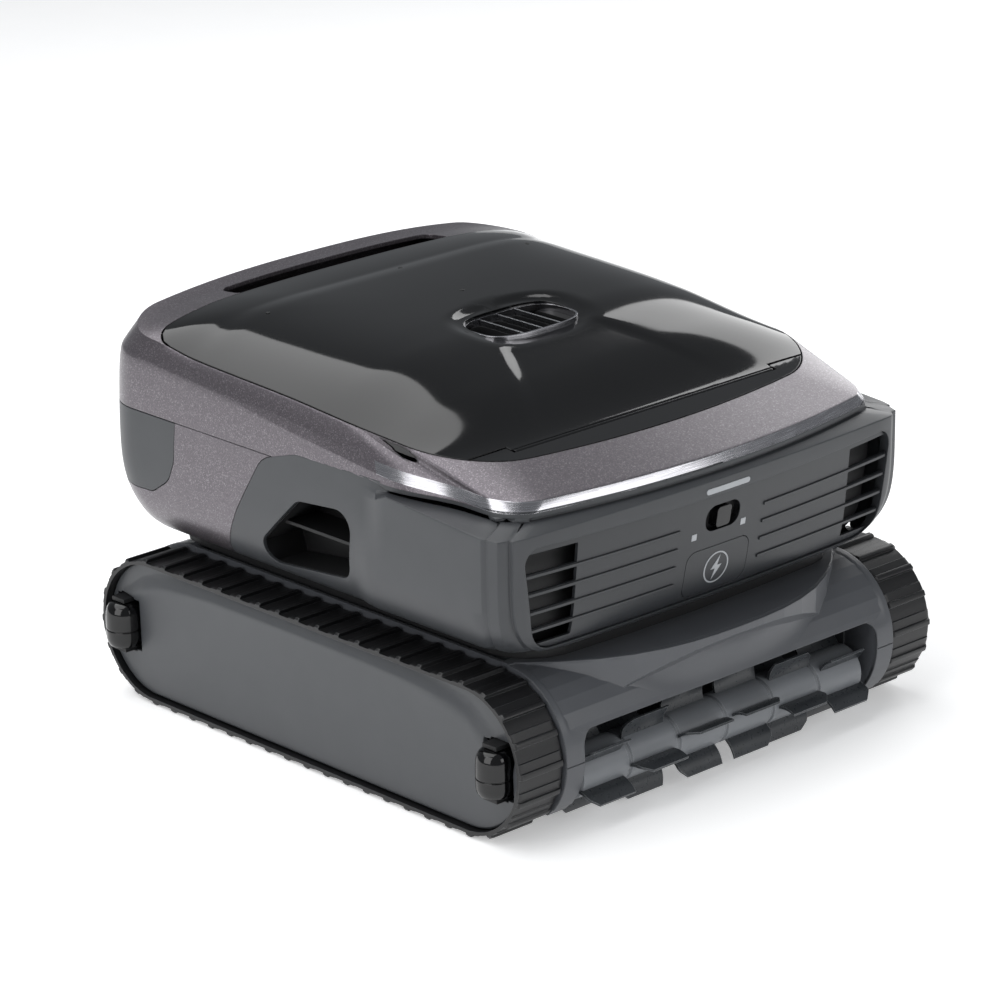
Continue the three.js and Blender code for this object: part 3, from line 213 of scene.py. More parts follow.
# %% Metallic paint and the cut edge under it
def metal(name, tones, gloss, cell, tilt, metallic, coat=0.0, stretch=(1, 1, 1), edge=1.0):
    """A metallic surface whose cells differ a little in tone, gloss and tilt."""
    made = bpy.data.materials.new(name)
    made.use_nodes = True
    tree = made.node_tree
    shader = tree.nodes["Principled BSDF"]
    where = node(tree, "ShaderNodeTexCoord").outputs["Object"]
    placed = node(tree, "ShaderNodeMapping", {"Vector": where, "Scale": stretch})
    flake = node(tree, "ShaderNodeTexVoronoi", {"Vector": placed.outputs["Vector"], "Scale": 1 / (cell * MM)})
    parts = node(tree, "ShaderNodeSeparateColor", {"Color": flake.outputs["Color"]})
    ramp = node(tree, "ShaderNodeValToRGB", {"Fac": parts.outputs["Red"]})
    stops = ramp.color_ramp.elements
    stops[0].position, stops[0].color = 0.0, linear(tones[0])
    stops[1].position, stops[1].color = 0.82, linear(tones[1])
    stops.new(1.0).color = linear(tones[2])
    rough = node(tree, "ShaderNodeMapRange",
                 {"Value": parts.outputs["Green"], "To Min": gloss[0], "To Max": gloss[1]})
    rounded_edge = node(tree, "ShaderNodeBevel", {"Radius": edge * MM}, samples=4)
    bump = node(tree, "ShaderNodeBump",
                {"Height": parts.outputs["Blue"], "Strength": 1.0, "Distance": tilt * MM,
                 "Normal": rounded_edge.outputs["Normal"]})
    tree.links.new(ramp.outputs["Color"], shader.inputs["Base Color"])
    tree.links.new(rough.outputs["Result"], shader.inputs["Roughness"])
    tree.links.new(bump.outputs["Normal"], shader.inputs["Normal"])
    shader.inputs["Metallic"].default_value = metallic
    shader.inputs["Coat Weight"].default_value = coat
    shader.inputs["Coat Roughness"].default_value = 0.22
    return made


silver_paint = metal("metallic_paint", ("#5d585d", "#6b666b", "#8b868b"), (0.30, 0.40), 0.7, 0.008, 0.75,
                     coat=0.25)
# The front edge is cut bright after painting: bare aluminium with fine lines along the cut.
cut_edge = metal("diamond_cut_aluminium", ("#a9a8ac", "#b9b8bc", "#d6d5d9"), (0.16, 0.24), 1.5, 0.002, 1.0,
                 stretch=(0.1, 0.1, 6.0), edge=0.4)
# Turned stainless steel of the axles, motors and pinions, with tool marks drawn 0.4 mm apart.
turned_steel = metal("turned_stainless_steel", ("#8a8c8f", "#97999c", "#a8aaad"), (0.24, 0.34), 0.4, 0.004, 1.0)
print("materials", len(bpy.data.materials))

# %% [markdown]
# Shapes come next. Everything is built in millimetres from points and faces. An outline with
# rounded corners becomes a prism, and prisms and shells are cut by booleans, as a designer trims
# surfaces. Each finished mesh then gets smooth shading up to its real edges.

# %% Outlines and solids
def rounded(corners, steps=8):
    """An outline from corners (u, v, radius), each rounded by an arc."""
    outline = []
    for index, (u, v, radius) in enumerate(corners):
        here = Vector((u, v))
        before = Vector(corners[index - 1][:2]) - here
        after = Vector(corners[(index + 1) % len(corners)][:2]) - here
        half = before.angle(after) / 2
        if radius <= 0 or abs(half - math.pi / 2) < 1e-4:
            outline.append(here)
            continue
        reach = min(radius / math.tan(half), 0.49 * before.length, 0.49 * after.length)
        centre = here + (before.normalized() + after.normalized()).normalized() * (
            reach / math.cos(half))
        start = here + before.normalized() * reach - centre
        end = here + after.normalized() * reach - centre
        first = math.atan2(start.y, start.x)
        sweep = (math.atan2(end.y, end.x) - first + math.pi) % (2 * math.pi) - math.pi
        for step in range(steps + 1):
            angle = first + sweep * step / steps
            outline.append(centre + Vector((math.cos(angle), math.sin(angle))) * start.length)
    return outline


def rounded_box(u0, u1, v0, v1, radius, steps=8):
    return rounded([(u0, v0, radius), (u1, v0, radius), (u1, v1, radius), (u0, v1, radius)], steps)


def raw(name, points, faces):
    """An object from points in millimetres and faces, with its normals facing out."""
    mesh = bpy.data.meshes.new(name)
    mesh.from_pydata([Vector(p) * MM for p in points], [], faces)
    work = bmesh.new()
    work.from_mesh(mesh)
    bmesh.ops.remove_doubles(work, verts=work.verts, dist=1e-7)
    bmesh.ops.recalc_face_normals(work, faces=work.faces)
    work.to_mesh(mesh)
    work.free()
    made = bpy.data.objects.new(name, mesh)
    bpy.context.collection.objects.link(made)
    return made


AXES = {"x": lambda u, v, w: (w, u, v), "y": lambda u, v, w: (u, w, v), "z": lambda u, v, w: (u, v, w)}


def prism(axis, outline, low, high, name="cutter"):
    """A closed prism; the outline lies across the axis."""
    count = len(outline)
    points = [AXES[axis](u, v, w) for w in (low, high) for u, v in outline]
    faces = [list(range(count)), list(range(count, 2 * count))]
    faces += [[i, (i + 1) % count, count + (i + 1) % count, count + i] for i in range(count)]
    return raw(name, points, faces)


def block(x0, x1, y0, y1, z0, z1, name="cutter"):
    return prism("z", [(x0, y0), (x1, y0), (x1, y1), (x0, y1)], z0, z1, name)


def grid_faces(rows, columns, closed=True):
    """Quads between rows of points; a closed row joins its last point to its first."""
    faces = []
    for row in range(rows - 1):
        for i in range(columns if closed else columns - 1):
            j = (i + 1) % columns
            faces.append([row * columns + i, row * columns + j, (row + 1) * columns + j, (row + 1) * columns + i])
    return faces


def tube(rows, name):
    """A closed skin through rings of points, capped at both ends."""
    count = len(rows[0])
    faces = grid_faces(len(rows), count)
    faces.append(list(range(count)))
    faces.append(list(range((len(rows) - 1) * count, len(rows) * count)))
    return raw(name, [p for row in rows for p in row], faces)


def lathe(profile, centre, axis, name, sides=48):
    """Turns a closed profile of (radius, along) points round a line through a centre."""
    rows = []
    for step in range(sides):
        angle = 2 * math.pi * step / sides
        rows.append([Vector(centre) + Vector(AXES[axis](r * math.cos(angle), r * math.sin(angle), w))
                     for r, w in profile])
    count = len(profile)
    faces = [[row * count + i, row * count + (i + 1) % count,
              (row + 1) % sides * count + (i + 1) % count, (row + 1) % sides * count + i]
             for row in range(sides) for i in range(count)]
    return raw(name, [p for row in rows for p in row], faces)


def carve(piece, tool, how="DIFFERENCE", keep=False):
    """Cuts, joins or intersects a piece with a tool and keeps the result as its mesh."""
    cut = piece.modifiers.new("carve", "BOOLEAN")
    cut.object, cut.operation, cut.solver = tool, how, "MANIFOLD"
    made = bpy.data.meshes.new_from_object(piece.evaluated_get(bpy.context.evaluated_depsgraph_get()))
    piece.modifiers.clear()
    old, piece.data = piece.data, made
    bpy.data.meshes.remove(old)
    if not keep:
        bpy.data.objects.remove(tool)
    return piece


def copied(piece, name):
    made = bpy.data.objects.new(name, piece.data.copy())
    bpy.context.collection.objects.link(made)
    return made


def mirrored(piece, name, axis=0):
    """The same piece on the other side of the machine."""
    made = copied(piece, name)
    sign = [1, 1, 1, 1]
    sign[axis] = -1
    made.data.transform(Matrix.Diagonal(sign))
    made.data.flip_normals()
    return made


def done(piece, finish, body, nodes=(), crease=32):
    """Gives a piece its finish, shading and body, and hides the CAD nodes that it stands for."""
    piece.name = piece.data.name = piece.name
    piece.data.materials.clear()
    for one in finish if isinstance(finish, (list, tuple)) else [finish]:
        piece.data.materials.append(one)
    piece.data.polygons.foreach_set("use_smooth", [True] * len(piece.data.polygons))
    piece.data.set_sharp_from_angle(angle=math.radians(crease))
    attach(piece, body)
    if nodes:
        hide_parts(*nodes)
    return piece


print("shape helpers ready")

# %% [markdown]
# A flat, wide sheet of pale paper stands in for the studio floor; it runs far behind the machine, so
# its edge never shows.

# %% Floor
paper = bpy.data.materials.new("matt_studio_paper")
paper.use_nodes = True
tree = paper.node_tree
fibre = node(tree, "ShaderNodeTexNoise", {"Vector": node(tree, "ShaderNodeTexCoord").outputs["Object"],
                                          "Scale": 1 / (40 * MM), "Detail": 5.0})
tone = node(tree, "ShaderNodeMix", {"Factor": fibre.outputs["Fac"], 6: linear("#fbfbfb"), 7: linear("#ffffff")},
            data_type="RGBA")
tree.links.new(tone.outputs[2], tree.nodes["Principled BSDF"].inputs["Base Color"])
tree.nodes["Principled BSDF"].inputs["Roughness"].default_value = 0.9
# a little light of its own, as paper lit from behind, keeps the far floor as white as the near one
tree.nodes["Principled BSDF"].inputs["Emission Color"].default_value = linear("#ffffff")
tree.nodes["Principled BSDF"].inputs["Emission Strength"].default_value = 0.32
floor = raw("studio_floor", [(-7000, -5000, 0), (7000, -5000, 0), (7000, 12000, 0), (-7000, 12000, 0)],
            [[0, 1, 2, 3]])
floor.data.materials.append(paper)
print("floor", tuple(round(v, 1) for v in floor.dimensions))

# %% [markdown]
# The body is one loft from a small neck up to a crowned top, and every shell of it is trimmed out of
# that loft: the silver cover, the gloss lid, the dark cowl in front and the panel behind. A designer
# would build it from a few section curves; here each level is a rounded outline, and a quadratic
# curve rounds the wall where it turns at a level. Splines keep the heights smooth along the length.

# %% Smooth curves through a table
def curve(table):
    """A monotone cubic through (place, value) pairs; flat beyond both ends."""
    xs = [row[0] for row in table]
    ys = [row[1] for row in table]
    slopes = [(ys[i + 1] - ys[i]) / (xs[i + 1] - xs[i]) for i in range(len(xs) - 1)]
    tangents = [slopes[0]]
    for a, b in zip(slopes, slopes[1:]):
        tangents.append(0 if a * b <= 0 else 2 * a * b / (a + b))
    tangents.append(slopes[-1])

    def value(at):
        at = min(max(at, xs[0]), xs[-1])
        i = min(max(bisect.bisect_right(xs, at) - 1, 0), len(xs) - 2)
        span = xs[i + 1] - xs[i]
        t = (at - xs[i]) / span
        return (ys[i] * (1 + 2 * t) * (1 - t) ** 2 + tangents[i] * span * t * (1 - t) ** 2
                + ys[i + 1] * t * t * (3 - 2 * t) + tangents[i + 1] * span * t * t * (t - 1))
    return value


def soft_step(value):
    value = min(max(value, 0.0), 1.0)
    return value * value * (3 - 2 * value)


shoulder = curve([(-190, 244), (-140, 246), (-90, 250), (50, 264), (230, 277)])
panel_edge = curve([(-176, 256), (-140, 260), (-100, 265), (-44, 269), (20, 274), (130, 279), (175, 284),
                    (224, 286)])
crown = curve([(-140, 0), (-80, 20), (-13, 30.3), (60, 30.3), (120, 29.5), (180, 15), (224, 1)])
rear_arch = curve([(140, 0), (180, 8), (224, 17)])
fold_line = curve([(127, -43), (160, -50), (188, -60), (215, -71), (233, -81)])
CENTRE_Y = 20


def arched_edge(x, y):
    return panel_edge(y) + rear_arch(y) * max(0.0, 1 - abs(x / 203) ** 2.5)


def outline_ring(w, front, rear, r_front, r_rear, bow, taper, inset=0.0, side=40, end=24, corner=12):
    """A rounded rectangle whose front bows forward and narrows; the same count of points each time."""
    half, low, high = w - inset, front + inset, rear - inset
    r_front, r_rear = max(r_front - inset, 2), max(r_rear - inset, 2)
    ring = []
    for x, y, r, turn in ((half, low, r_front, -90), (half, high, r_rear, 0), (-half, high, r_rear, 90),
                          (-half, low, r_front, 180)):
        cx, cy = x - math.copysign(r, x), (y + r if turn in (-90, 180) else y - r)
        for step in range(corner + 1):
            angle = math.radians(turn + 90 * step / corner)
            ring.append((cx + r * math.cos(angle), cy + r * math.sin(angle)))
        steps = side if turn in (-90, 90) else end
        x1, y1 = ring[-1]
        if turn == -90:
            x2, y2 = half, high - r_rear
        elif turn == 0:
            x2, y2 = -half + r_rear, high
        elif turn == 90:
            x2, y2 = -half, low + r_front
        else:
            x2, y2 = half - r_front, low
        ring += [(x1 + (x2 - x1) * i / steps, y1 + (y2 - y1) * i / steps) for i in range(1, steps)]
    moved = []
    for x, y in ring:
        bowed = y - bow * min(max((-y - 90) / 70, 0), 1) * max(0.0, 1 - (x / half) ** 2)
        moved.append((x * (1 - taper * min(max(-y / 150, 0), 1) ** 1.5), bowed))
    return moved


print("shoulder at the front", round(shoulder(-190), 1), "and at the rear", round(shoulder(230), 1))


# %% [markdown]
# In front, the dark cowl stands a little proud behind the corners, ends in a narrow ledge, and a
# collar set back from that ledge carries the bright edge of the cover. The same loft makes both: it
# pulls the upper levels in at the front, and for the cowl adds the fold, the ledge and a groove.

# %% The body loft
def front_share(y):
    """0 beside the lid, 1 at the front corners, where the upper levels draw in."""
    return soft_step((-y - 85) / 65)


def body_rings(inset, cowl):
    levels = [
        ((168, -190, 214, 40, 46, 8, 0), lambda x, y: 127),
        ((188, -199, 228, 26, 50, 9, 0), lambda x, y: 135),
        ((199, -202, 237, 18, 54, 11, 0), lambda x, y: 152),
        ((203, -203, 239, 16, 44, 14, 0), lambda x, y: 175),
        ((203, -203, 239, 16, 42, 21, 0), lambda x, y: 215),
        ((202, -202, 238, 24, 44, 23, 0.015), lambda x, y: shoulder(y) - 8 - inset),
        ((200, -198, 236, 30, 50, 23, 0.03), lambda x, y: shoulder(y) - inset),
        ((194, -148, 225, 56, 44, 26, 0.03), lambda x, y: arched_edge(x, y) - inset),
    ]
    rings = []
    for index, (plan, height) in enumerate(levels):
        ring = [Vector((x, y, height(x, y))) for x, y in outline_ring(*plan, inset=inset)]
        if index in (5, 6):
            for p in ring:
                draw = front_share(p.y)
                p.x *= 1 - (0.062, 0.05)[index - 5] * draw
                p.y += (5, 4)[index - 5] * soft_step((-p.y - 150) / 40)
        rings.append(ring)
    return rings


def body(name, inset=0.0, cowl=False, base=127.0):
    """The loft as a closed solid; each wall is rounded where it turns."""
    rings = body_rings(inset, cowl)
    for p in rings[0]:
        p.z = base if base < 127 else 127
    count = len(rings[0])
    if cowl:
        # bulge behind the fold, then ledge, groove and collar between the wall and the bright edge
        wall, collar = rings[4], rings[5]
        ledge, inner, groove, lip = [], [], [], []
        for i in range(count):
            before, after = wall[i - 1], wall[(i + 1) % count]
            out = Vector((after.y - before.y, before.x - after.x, 0)).normalized()
            for level in rings[:5]:
                p = level[i]
                share = soft_step((fold_line(p.z) - p.y) / 11)
                spread = 0.25 + 0.75 * min(1.0, abs(p.x / 203)) ** 2
                p += out * (5.5 * share * spread * (0.4 if level is rings[0] else 1.0))
            p, q = wall[i], collar[i]
            share = soft_step((-78 - p.y) / 9)
            rim = 224 + 4 * max(0.0, 1 - (p.x / 200) ** 2) if p.y < -195 else 224 + 9 * (p.y + 205) / 125
            edge = Vector((p.x, p.y, rim - inset))
            foot = Vector((q.x, q.y, 230.5 - inset)) + out * 0.5
            deep = foot - out * 2.6
            ledge.append(p.lerp(q, 0.3).lerp(edge, share))
            inner.append(p.lerp(q, 0.5).lerp(foot, share))
            groove.append(p.lerp(q, 0.6).lerp(deep + Vector((0, 0, 0.4)), share))
            lip.append(p.lerp(q, 0.8).lerp(deep + Vector((0, 0, 2.2)) + out * 2.2 * 0, share))
        step = [p.lerp(q, 0.0) for p, q in zip(lip, collar)]
        over = []
        for i in range(count):
            share = soft_step((-78 - wall[i].y) / 9)
            q = collar[i]
            over.append(wall[i].lerp(q, 0.85).lerp(Vector((q.x, q.y, 233.2 - inset)), share))
        rings = rings[:5] + [ledge, inner, groove, step, over, collar] + rings[6:]
        sharp = set(range(5, 11))
    else:
        sharp = {5, 6}
    walls = [rings[0]]
    for index in range(1, len(rings) - 1):
        low, here, high = rings[index - 1], rings[index], rings[index + 1]
        for step in range(7):
            t = step / 6
            row = []
            for a, p, b in zip(low, here, high):
                reach = 0.5
                if index in sharp:
                    reach = 0.06 + 0.42 * soft_step((p.y - 10) / 90)
                start, end = p.lerp(a, reach), p.lerp(b, reach)
                row.append(start.lerp(p, t).lerp(p.lerp(end, t), t))
            walls.append(row)
    edge = rings[-1]
    walls.append(edge)
    for share in (0.985, 0.96, 0.93, 0.89, 0.84, 0.78, 0.7, 0.6, 0.48, 0.34, 0.18, 0.05):
        row = []
        for p in edge:
            x, y = p.x * share, CENTRE_Y + (p.y - CENTRE_Y) * share
            row.append(Vector((x, y, arched_edge(x, y) + crown(y) * (1 - share ** 5) - inset)))
        walls.append(row)
    return tube(walls, name)


AWAY = 400


def panel_plan(grow):
    return outline_ring(193 + grow, -148 - grow, 181.5 + grow, 56, 20, 26, 0.03, side=24, end=24, corner=14)


def side_prism(outline, name="cutter"):
    return prism("x", outline, -AWAY, AWAY, name)


def shell(name, outside, inset):
    """A wall of the loft: the outside solid without the same loft set in."""
    return carve(copied(outside, name), body("inside", inset, base=117.0))


cover_body = body("cover_body")
print("body loft", len(cover_body.data.vertices), "points")

# %% [markdown]
# The silver cover is the loft above the seam, cut away for the lid and for the cowl. Behind it the
# rear cowl is the same paint below a half-millimetre seam, which is what the eye reads as two parts.

# %% Silver cover and rear cowl
COWL_SIDE = [(-AWAY, 90, 0), (121, 90, 0), (93, 150, 10), (78, 178, 30), (47, 226, 26), (10, 237.4, 24),
             (-60, 238.5, 0), (-AWAY, 236.5, 0)]
REAR_SIDE = [(AWAY, 168, 0), (196, 168, 6), (176, 169, 14), (156, 182, 22), (149, 198, 18), (146, 229, 0),
             (AWAY, 229, 0)]


def grown(corners, by):
    """A side view moved forward and down or back and up, for the seams round a part."""
    return [(u + by if u < AWAY and u > -AWAY else u, v + by * 0.4, r) for u, v, r in corners]


skin = shell("body_skin", cover_body, 3.0)
cover = carve(copied(skin, "silver_cover"), block(-AWAY, AWAY, -AWAY, AWAY, 229.75, 400), "INTERSECT")
cover = carve(cover, side_prism(rounded([(-AWAY, 90, 0), (121, 90, 0), (93, 150, 10), (78, 178, 30),
                                         (47, 226, 26), (10, 237.4, 24), (-60, 237.4, 0), (-120, 236.4, 0),
                                         (-AWAY, 236.0, 0)])))
cover = carve(cover, carve(prism("z", panel_plan(0.7), 240, 400),
                           block(-AWAY, AWAY, -AWAY, 182.2, 0, 500), "INTERSECT"))
cover = carve(cover, prism("z", rounded_box(-107, 107, 178, 206.5, 9), 262, 400))
rear = carve(copied(skin, "rear_cowl_shell"), block(-AWAY, AWAY, -AWAY, AWAY, 60, 229.25), "INTERSECT")
rear = carve(rear, side_prism(rounded(grown(COWL_SIDE, 0.5))))
rear = carve(rear, side_prism(rounded([(u - 0.5, v - 0.5 if v < 200 else v + 2, r) for u, v, r in REAR_SIDE])))
done(cover, [silver_paint, cut_edge], "chassis", ["top_cover"])
done(rear, silver_paint, "chassis", ["rear_cowl"])
bright = 0
for face in cover.data.polygons:
    at = face.center / MM
    above_edge = at.z - shoulder(at.y)
    if at.y < -75 and -8.3 < above_edge < -0.3:
        face.material_index = 1
        bright += 1
print("cover", len(cover.data.polygons), "faces,", bright, "of them on the bright edge")
corner_panel = carve(carve(copied(skin, "rear_wrap_panel"), side_prism(rounded(REAR_SIDE)), "INTERSECT"),
                     block(-AWAY, AWAY, -AWAY, AWAY, 60, 229.0), "INTERSECT")
done(corner_panel, dark_abs, "chassis", ["rear_panel"])

# %% [markdown]
# The front cowl wraps round both corners. Its windows are cut with soft corners, and the whole front
# face between the corners sinks by two millimetres as a field that holds the louvres, the charge
# flap and the switch. The fins are bars of the same surface, so they follow its lean and its bow.

# %% Front cowl and fascia
FIELD = [(-176, 135, 26), (176, 135, 26), (188, 216, 12), (-188, 216, 12)]
WINDOW = [(54, 160, 13), (9.4, 202.5, 16), (-50.8, 208.5, 15), (-43.4, 154.6, 13), (47.6, 143.6, 11)]
cowl_body = body("cowl_body", cowl=True)
cowl = shell("front_cowl_shell", cowl_body, 3.0)
cowl = carve(cowl, side_prism(rounded([(u, v, r) for u, v, r in COWL_SIDE])), "INTERSECT")
cowl = carve(cowl, prism("y", rounded(FIELD), -AWAY, -150))
for side in (-1, 1):
    cowl = carve(cowl, prism("x", rounded(WINDOW), min(side * 150, side * AWAY), max(side * 150, side * AWAY)))
done(cowl, dark_abs, "chassis", ["front_cowl"])


surface = BVHTree.FromObject(cowl_body, bpy.context.evaluated_depsgraph_get())
COLUMNS = [-198 + 3 * i for i in range(133)]
ROWS = [130 + 2.4 * i for i in range(40)]


def front_at(x, z):
    """How far forward the cowl's front lies, looking straight back at it."""
    hit = surface.ray_cast(Vector((x, -AWAY, z)) * MM, Vector((0, 1, 0)))[0]
    return min(hit.y / MM, -150) if hit else -150


FRONT = {(x, z): front_at(x, z) for z in ROWS for x in COLUMNS}


def face_layer(name, outside, inside, outline):
    """A layer of the front between two depths, inside an outline seen from the front."""
    wide, tall = len(COLUMNS), len(ROWS)
    points = [(x, FRONT[x, z] + depth, z) for depth in (outside, inside) for z in ROWS for x in COLUMNS]
    sheet = grid_faces(tall, wide, closed=False)
    faces = sheet + [[i + wide * tall for i in face[::-1]] for face in sheet]
    rim = list(range(wide)) + [row * wide + wide - 1 for row in range(1, tall)]
    rim += [(tall - 1) * wide + i for i in range(wide - 2, -1, -1)] + [row * wide for row in range(tall - 2, 0, -1)]
    faces += [[a, b, b + wide * tall, a + wide * tall] for a, b in zip(rim, rim[1:] + rim[:1])]
    return carve(raw(name, points, faces), prism("y", outline, -AWAY, -140), "INTERSECT")


FLAP = rounded_box(-32.4, 32.4, 137.6, 174.4, 9)
WELL = rounded_box(-17.5, 17.5, 187, 207, 9)
LENS = rounded_box(-22, 22, 218.4, 222.6, 2)
OPENINGS = [(141.5, 151.4), (154.6, 165.4), (168.6, 179.4), (182.6, 193.4), (196.6, 211.5)]
field = face_layer("fascia_field", 2.2, 5.0, rounded([(u * 0.9975, v + (0.4 if v < 150 else -0.4), r)
                                                     for u, v, r in FIELD]))
for low, high in OPENINGS:
    for side in (-1, 1):
        field = carve(field, prism("y", rounded([(side * 139, low, 1), (side * 186, low, 3),
                                                 (side * 186, high, 3), (side * 139, high, 1)]), -AWAY, -150))
for hole in (FLAP, WELL):
    field = carve(field, prism("y", hole, -AWAY, -150))
done(field, field_abs, "chassis", ["front_fascia"])
bars = face_layer("louvre_fins", 1.1, 4.4, rounded([(u * 0.995, v, r) for u, v, r in FIELD]))
comb = None
for z in (153, 167, 181, 195):
    for side in (-1, 1):
        bar = block(*sorted((side * 43, side * AWAY)), -AWAY, -100, z - 1.1, z + 1.1)
        comb = bar if comb is None else carve(comb, bar, "UNION")
bars = carve(bars, comb, "INTERSECT")
done(bars, field_abs, "chassis")
liner = face_layer("louvre_liner", 16.0, 18.0, rounded([(u * 0.97, v, r) for u, v, r in FIELD]))
done(liner, inner_black, "chassis")
print("front", len(cowl.data.polygons), len(field.data.polygons), len(bars.data.polygons))

# %% [markdown]
# The charge flap is a plate flush with the field, with a raised ring and a plain lightning mark.
# The switch is a ribbed knob in a black well.

# %% Charge flap, switch and indicator
flap = face_layer("charge_flap_plate", 2.2, 5.2, rounded_box(-32, 32, 138, 174, 9))
done(flap, field_abs, "flap", ["charge_flap"])
ring = carve(prism("y", [(12.5 * math.cos(a / 32 * math.tau), 156 + 12.5 * math.sin(a / 32 * math.tau))
                         for a in range(32)], -AWAY, -150),
             prism("y", [(11.3 * math.cos(a / 32 * math.tau), 156 + 11.3 * math.sin(a / 32 * math.tau))
                         for a in range(32)], -AWAY - 1, -149))
bolt = prism("y", [(3.2, 165.5), (-5.4, 155), (-0.9, 155), (-3.2, 146.5), (5.4, 157.4), (0.9, 157.4)], -AWAY, -150)
mark = carve(face_layer("charge_mark", 1.9, 2.5, rounded_box(-14, 14, 142, 170, 2)),
             carve(ring, bolt, "UNION"), "INTERSECT")
done(mark, lens_plastic, "flap")
signs = face_layer("switch_marks", 2.0, 2.5, rounded_box(-30, 25, 184, 189, 0))
signs = carve(signs, block(-25, 20, -AWAY, -140, 180, 192))
done(signs, lens_plastic, "chassis")
well = face_layer("switch_well", 3.0, 11.0, rounded_box(-19, 19, 185.5, 208.5, 10))
well = carve(well, face_layer("inside", 0.0, 9.0, WELL))
done(well, inner_black, "chassis")
low, high = place("mode_switch")
knob = face_layer("switch_knob", 1.2, 9.0, rounded_box(-7, 7, 189, 205, 3))
for x in (-3.6, 0, 3.6):
    knob = carve(knob, block(x - 0.7, x + 0.7, -AWAY, -222.3, 191, 203))
done(knob, piano_black, "switch", ["mode_switch"])
lens = face_layer("indicator_bar", -0.4, 2.0, LENS)
done(lens, lens_plastic, "chassis", ["indicator_lens"])
print("knob rides the switch, which lies behind", round(low.y, 1), "mm")

# %% [markdown]
# The lid is the piece that the light shows most, so its surface is laid out as a height field of its
# own: rays from the middle out to its outline, closer together near the rim, where the crown falls
# away. The vent sits in a shallow dish that opens forward into a wide, soft scoop.

# %% Lid
edge_ring = outline_ring(194, -148, 225, 56, 44, 26, 0.03)
VENT = (0, -13)


def ray_table(ring):
    """Angles and distances of a ring about the crown's middle, for the distance in any direction."""
    rows = sorted((math.atan2(y - CENTRE_Y, x), math.hypot(x, y - CENTRE_Y)) for x, y in ring)
    angles = [rows[-1][0] - math.tau] + [a for a, _ in rows] + [rows[0][0] + math.tau]
    reaches = [rows[-1][1]] + [r for _, r in rows] + [rows[0][1]]

    def reach(angle):
        i = min(max(bisect.bisect_right(angles, angle), 1), len(angles) - 1)
        share = (angle - angles[i - 1]) / max(angles[i] - angles[i - 1], 1e-9)
        return reaches[i - 1] + (reaches[i] - reaches[i - 1]) * share
    return reach


crown_reach = ray_table(edge_ring)


def dish(x, y):
    """Depth of the dish round the vent and of the scoop in front of it."""
    away = ((abs(x - VENT[0]) / 62) ** 2.6 + (abs(y - VENT[1]) / 41) ** 2.6) ** (1 / 2.6)
    bowl = 3.4 * soft_step((1 - away) / 0.26)
    ahead = (-30 - y) / 115
    scoop = 0.0
    if ahead > 0:
        width = 44 + 62 * min(ahead, 1.2)
        scoop = 1.5 * soft_step((width - abs(x)) / 9) * soft_step(ahead * 4) * soft_step((1.05 - ahead) / 0.9)
    return max(bowl, scoop)


def lid_height(x, y, dished=True):
    share = min(math.hypot(x, y - CENTRE_Y) / crown_reach(math.atan2(y - CENTRE_Y, x)), 1.0)
    return arched_edge(x, y) + crown(y) * (1 - share ** 5) - (dish(x, y) if dished else 0)


def lid_solid(name, grow, thick):
    rays, steps = 176, 54
    outline = []
    plan = [(x, min(y, 181.5 + grow)) for x, y in panel_plan(grow)]
    plan_reach = ray_table(plan)
    for ray in range(rays):
        angle = -math.pi + math.tau * (ray + 0.5) / rays
        outline.append((math.cos(angle), math.sin(angle), plan_reach(angle)))
    top, under = [], []
    for step in range(steps, 0, -1):
        share = 1 - (1 - step / steps) ** 1.55 if step < steps else 1.0
        row = [(c * r * share, CENTRE_Y + s * r * share) for c, s, r in outline]
        row = [(x, min(y, 181.5 + grow)) for x, y in row]
        top.append([Vector((x, y, lid_height(x, y))) for x, y in row])
        under.append([Vector((x, y, lid_height(x, y, False) - thick)) for x, y in row])
    return tube(under[::-1] + top, name)


panel = lid_solid("panel", -0.1, 7.0)
hollow = lid_solid("hollow", -4.5, 7.0)
hollow.data.transform(Matrix.Translation((0, 0, -0.0055)))
oval = [(45.6 * math.copysign(abs(math.cos(a)) ** 0.62, math.cos(a)),
         VENT[1] + 26.6 * math.copysign(abs(math.sin(a)) ** 0.62, math.sin(a)))
        for a in (math.tau * (i + 0.5) / 72 for i in range(72))]
lid = carve(copied(panel, "gloss_lid"), block(-AWAY, AWAY, -141.2, AWAY, 0, AWAY), "INTERSECT")
lid = carve(lid, block(-AWAY, -132.6, -AWAY, -136.4, 0, AWAY))
lid = carve(lid, block(132.6, AWAY, -AWAY, -136.4, 0, AWAY))
lid = carve(lid, hollow, keep=True)
lid = carve(lid, prism("z", oval, 200, 400))
rod = lathe([(0.2, -131), (2.7, -131), (2.7, 131), (0.2, 131)], (0, -143, 256.967), "x", "rod", 24)
lid = carve(lid, rod, "UNION")
done(lid, piano_black, "lid", ["lid_panel"])
kept_trim = block(-AWAY, AWAY, -AWAY, -146.4, 0, AWAY)
for side in (-1, 1):
    kept_trim = carve(kept_trim, block(*sorted((side * 133.8, side * AWAY)), -150, -138.2, 0, AWAY), "UNION")
trim = carve(copied(panel, "gloss_hinge_trim"), kept_trim, "INTERSECT")
trim = carve(trim, hollow)
bpy.data.objects.remove(panel)
done(trim, piano_black, "chassis", ["hinge_trim"])
print("lid", len(lid.data.polygons), "faces; vent at height", round(lid_height(0, VENT[1]), 1))

# %% [markdown]
# The vent is a bright thin rim round a black well, with three slats along the machine. Four dark
# sensor windows sit flush in the gloss, and a black cup lines the finger slot behind the lid.

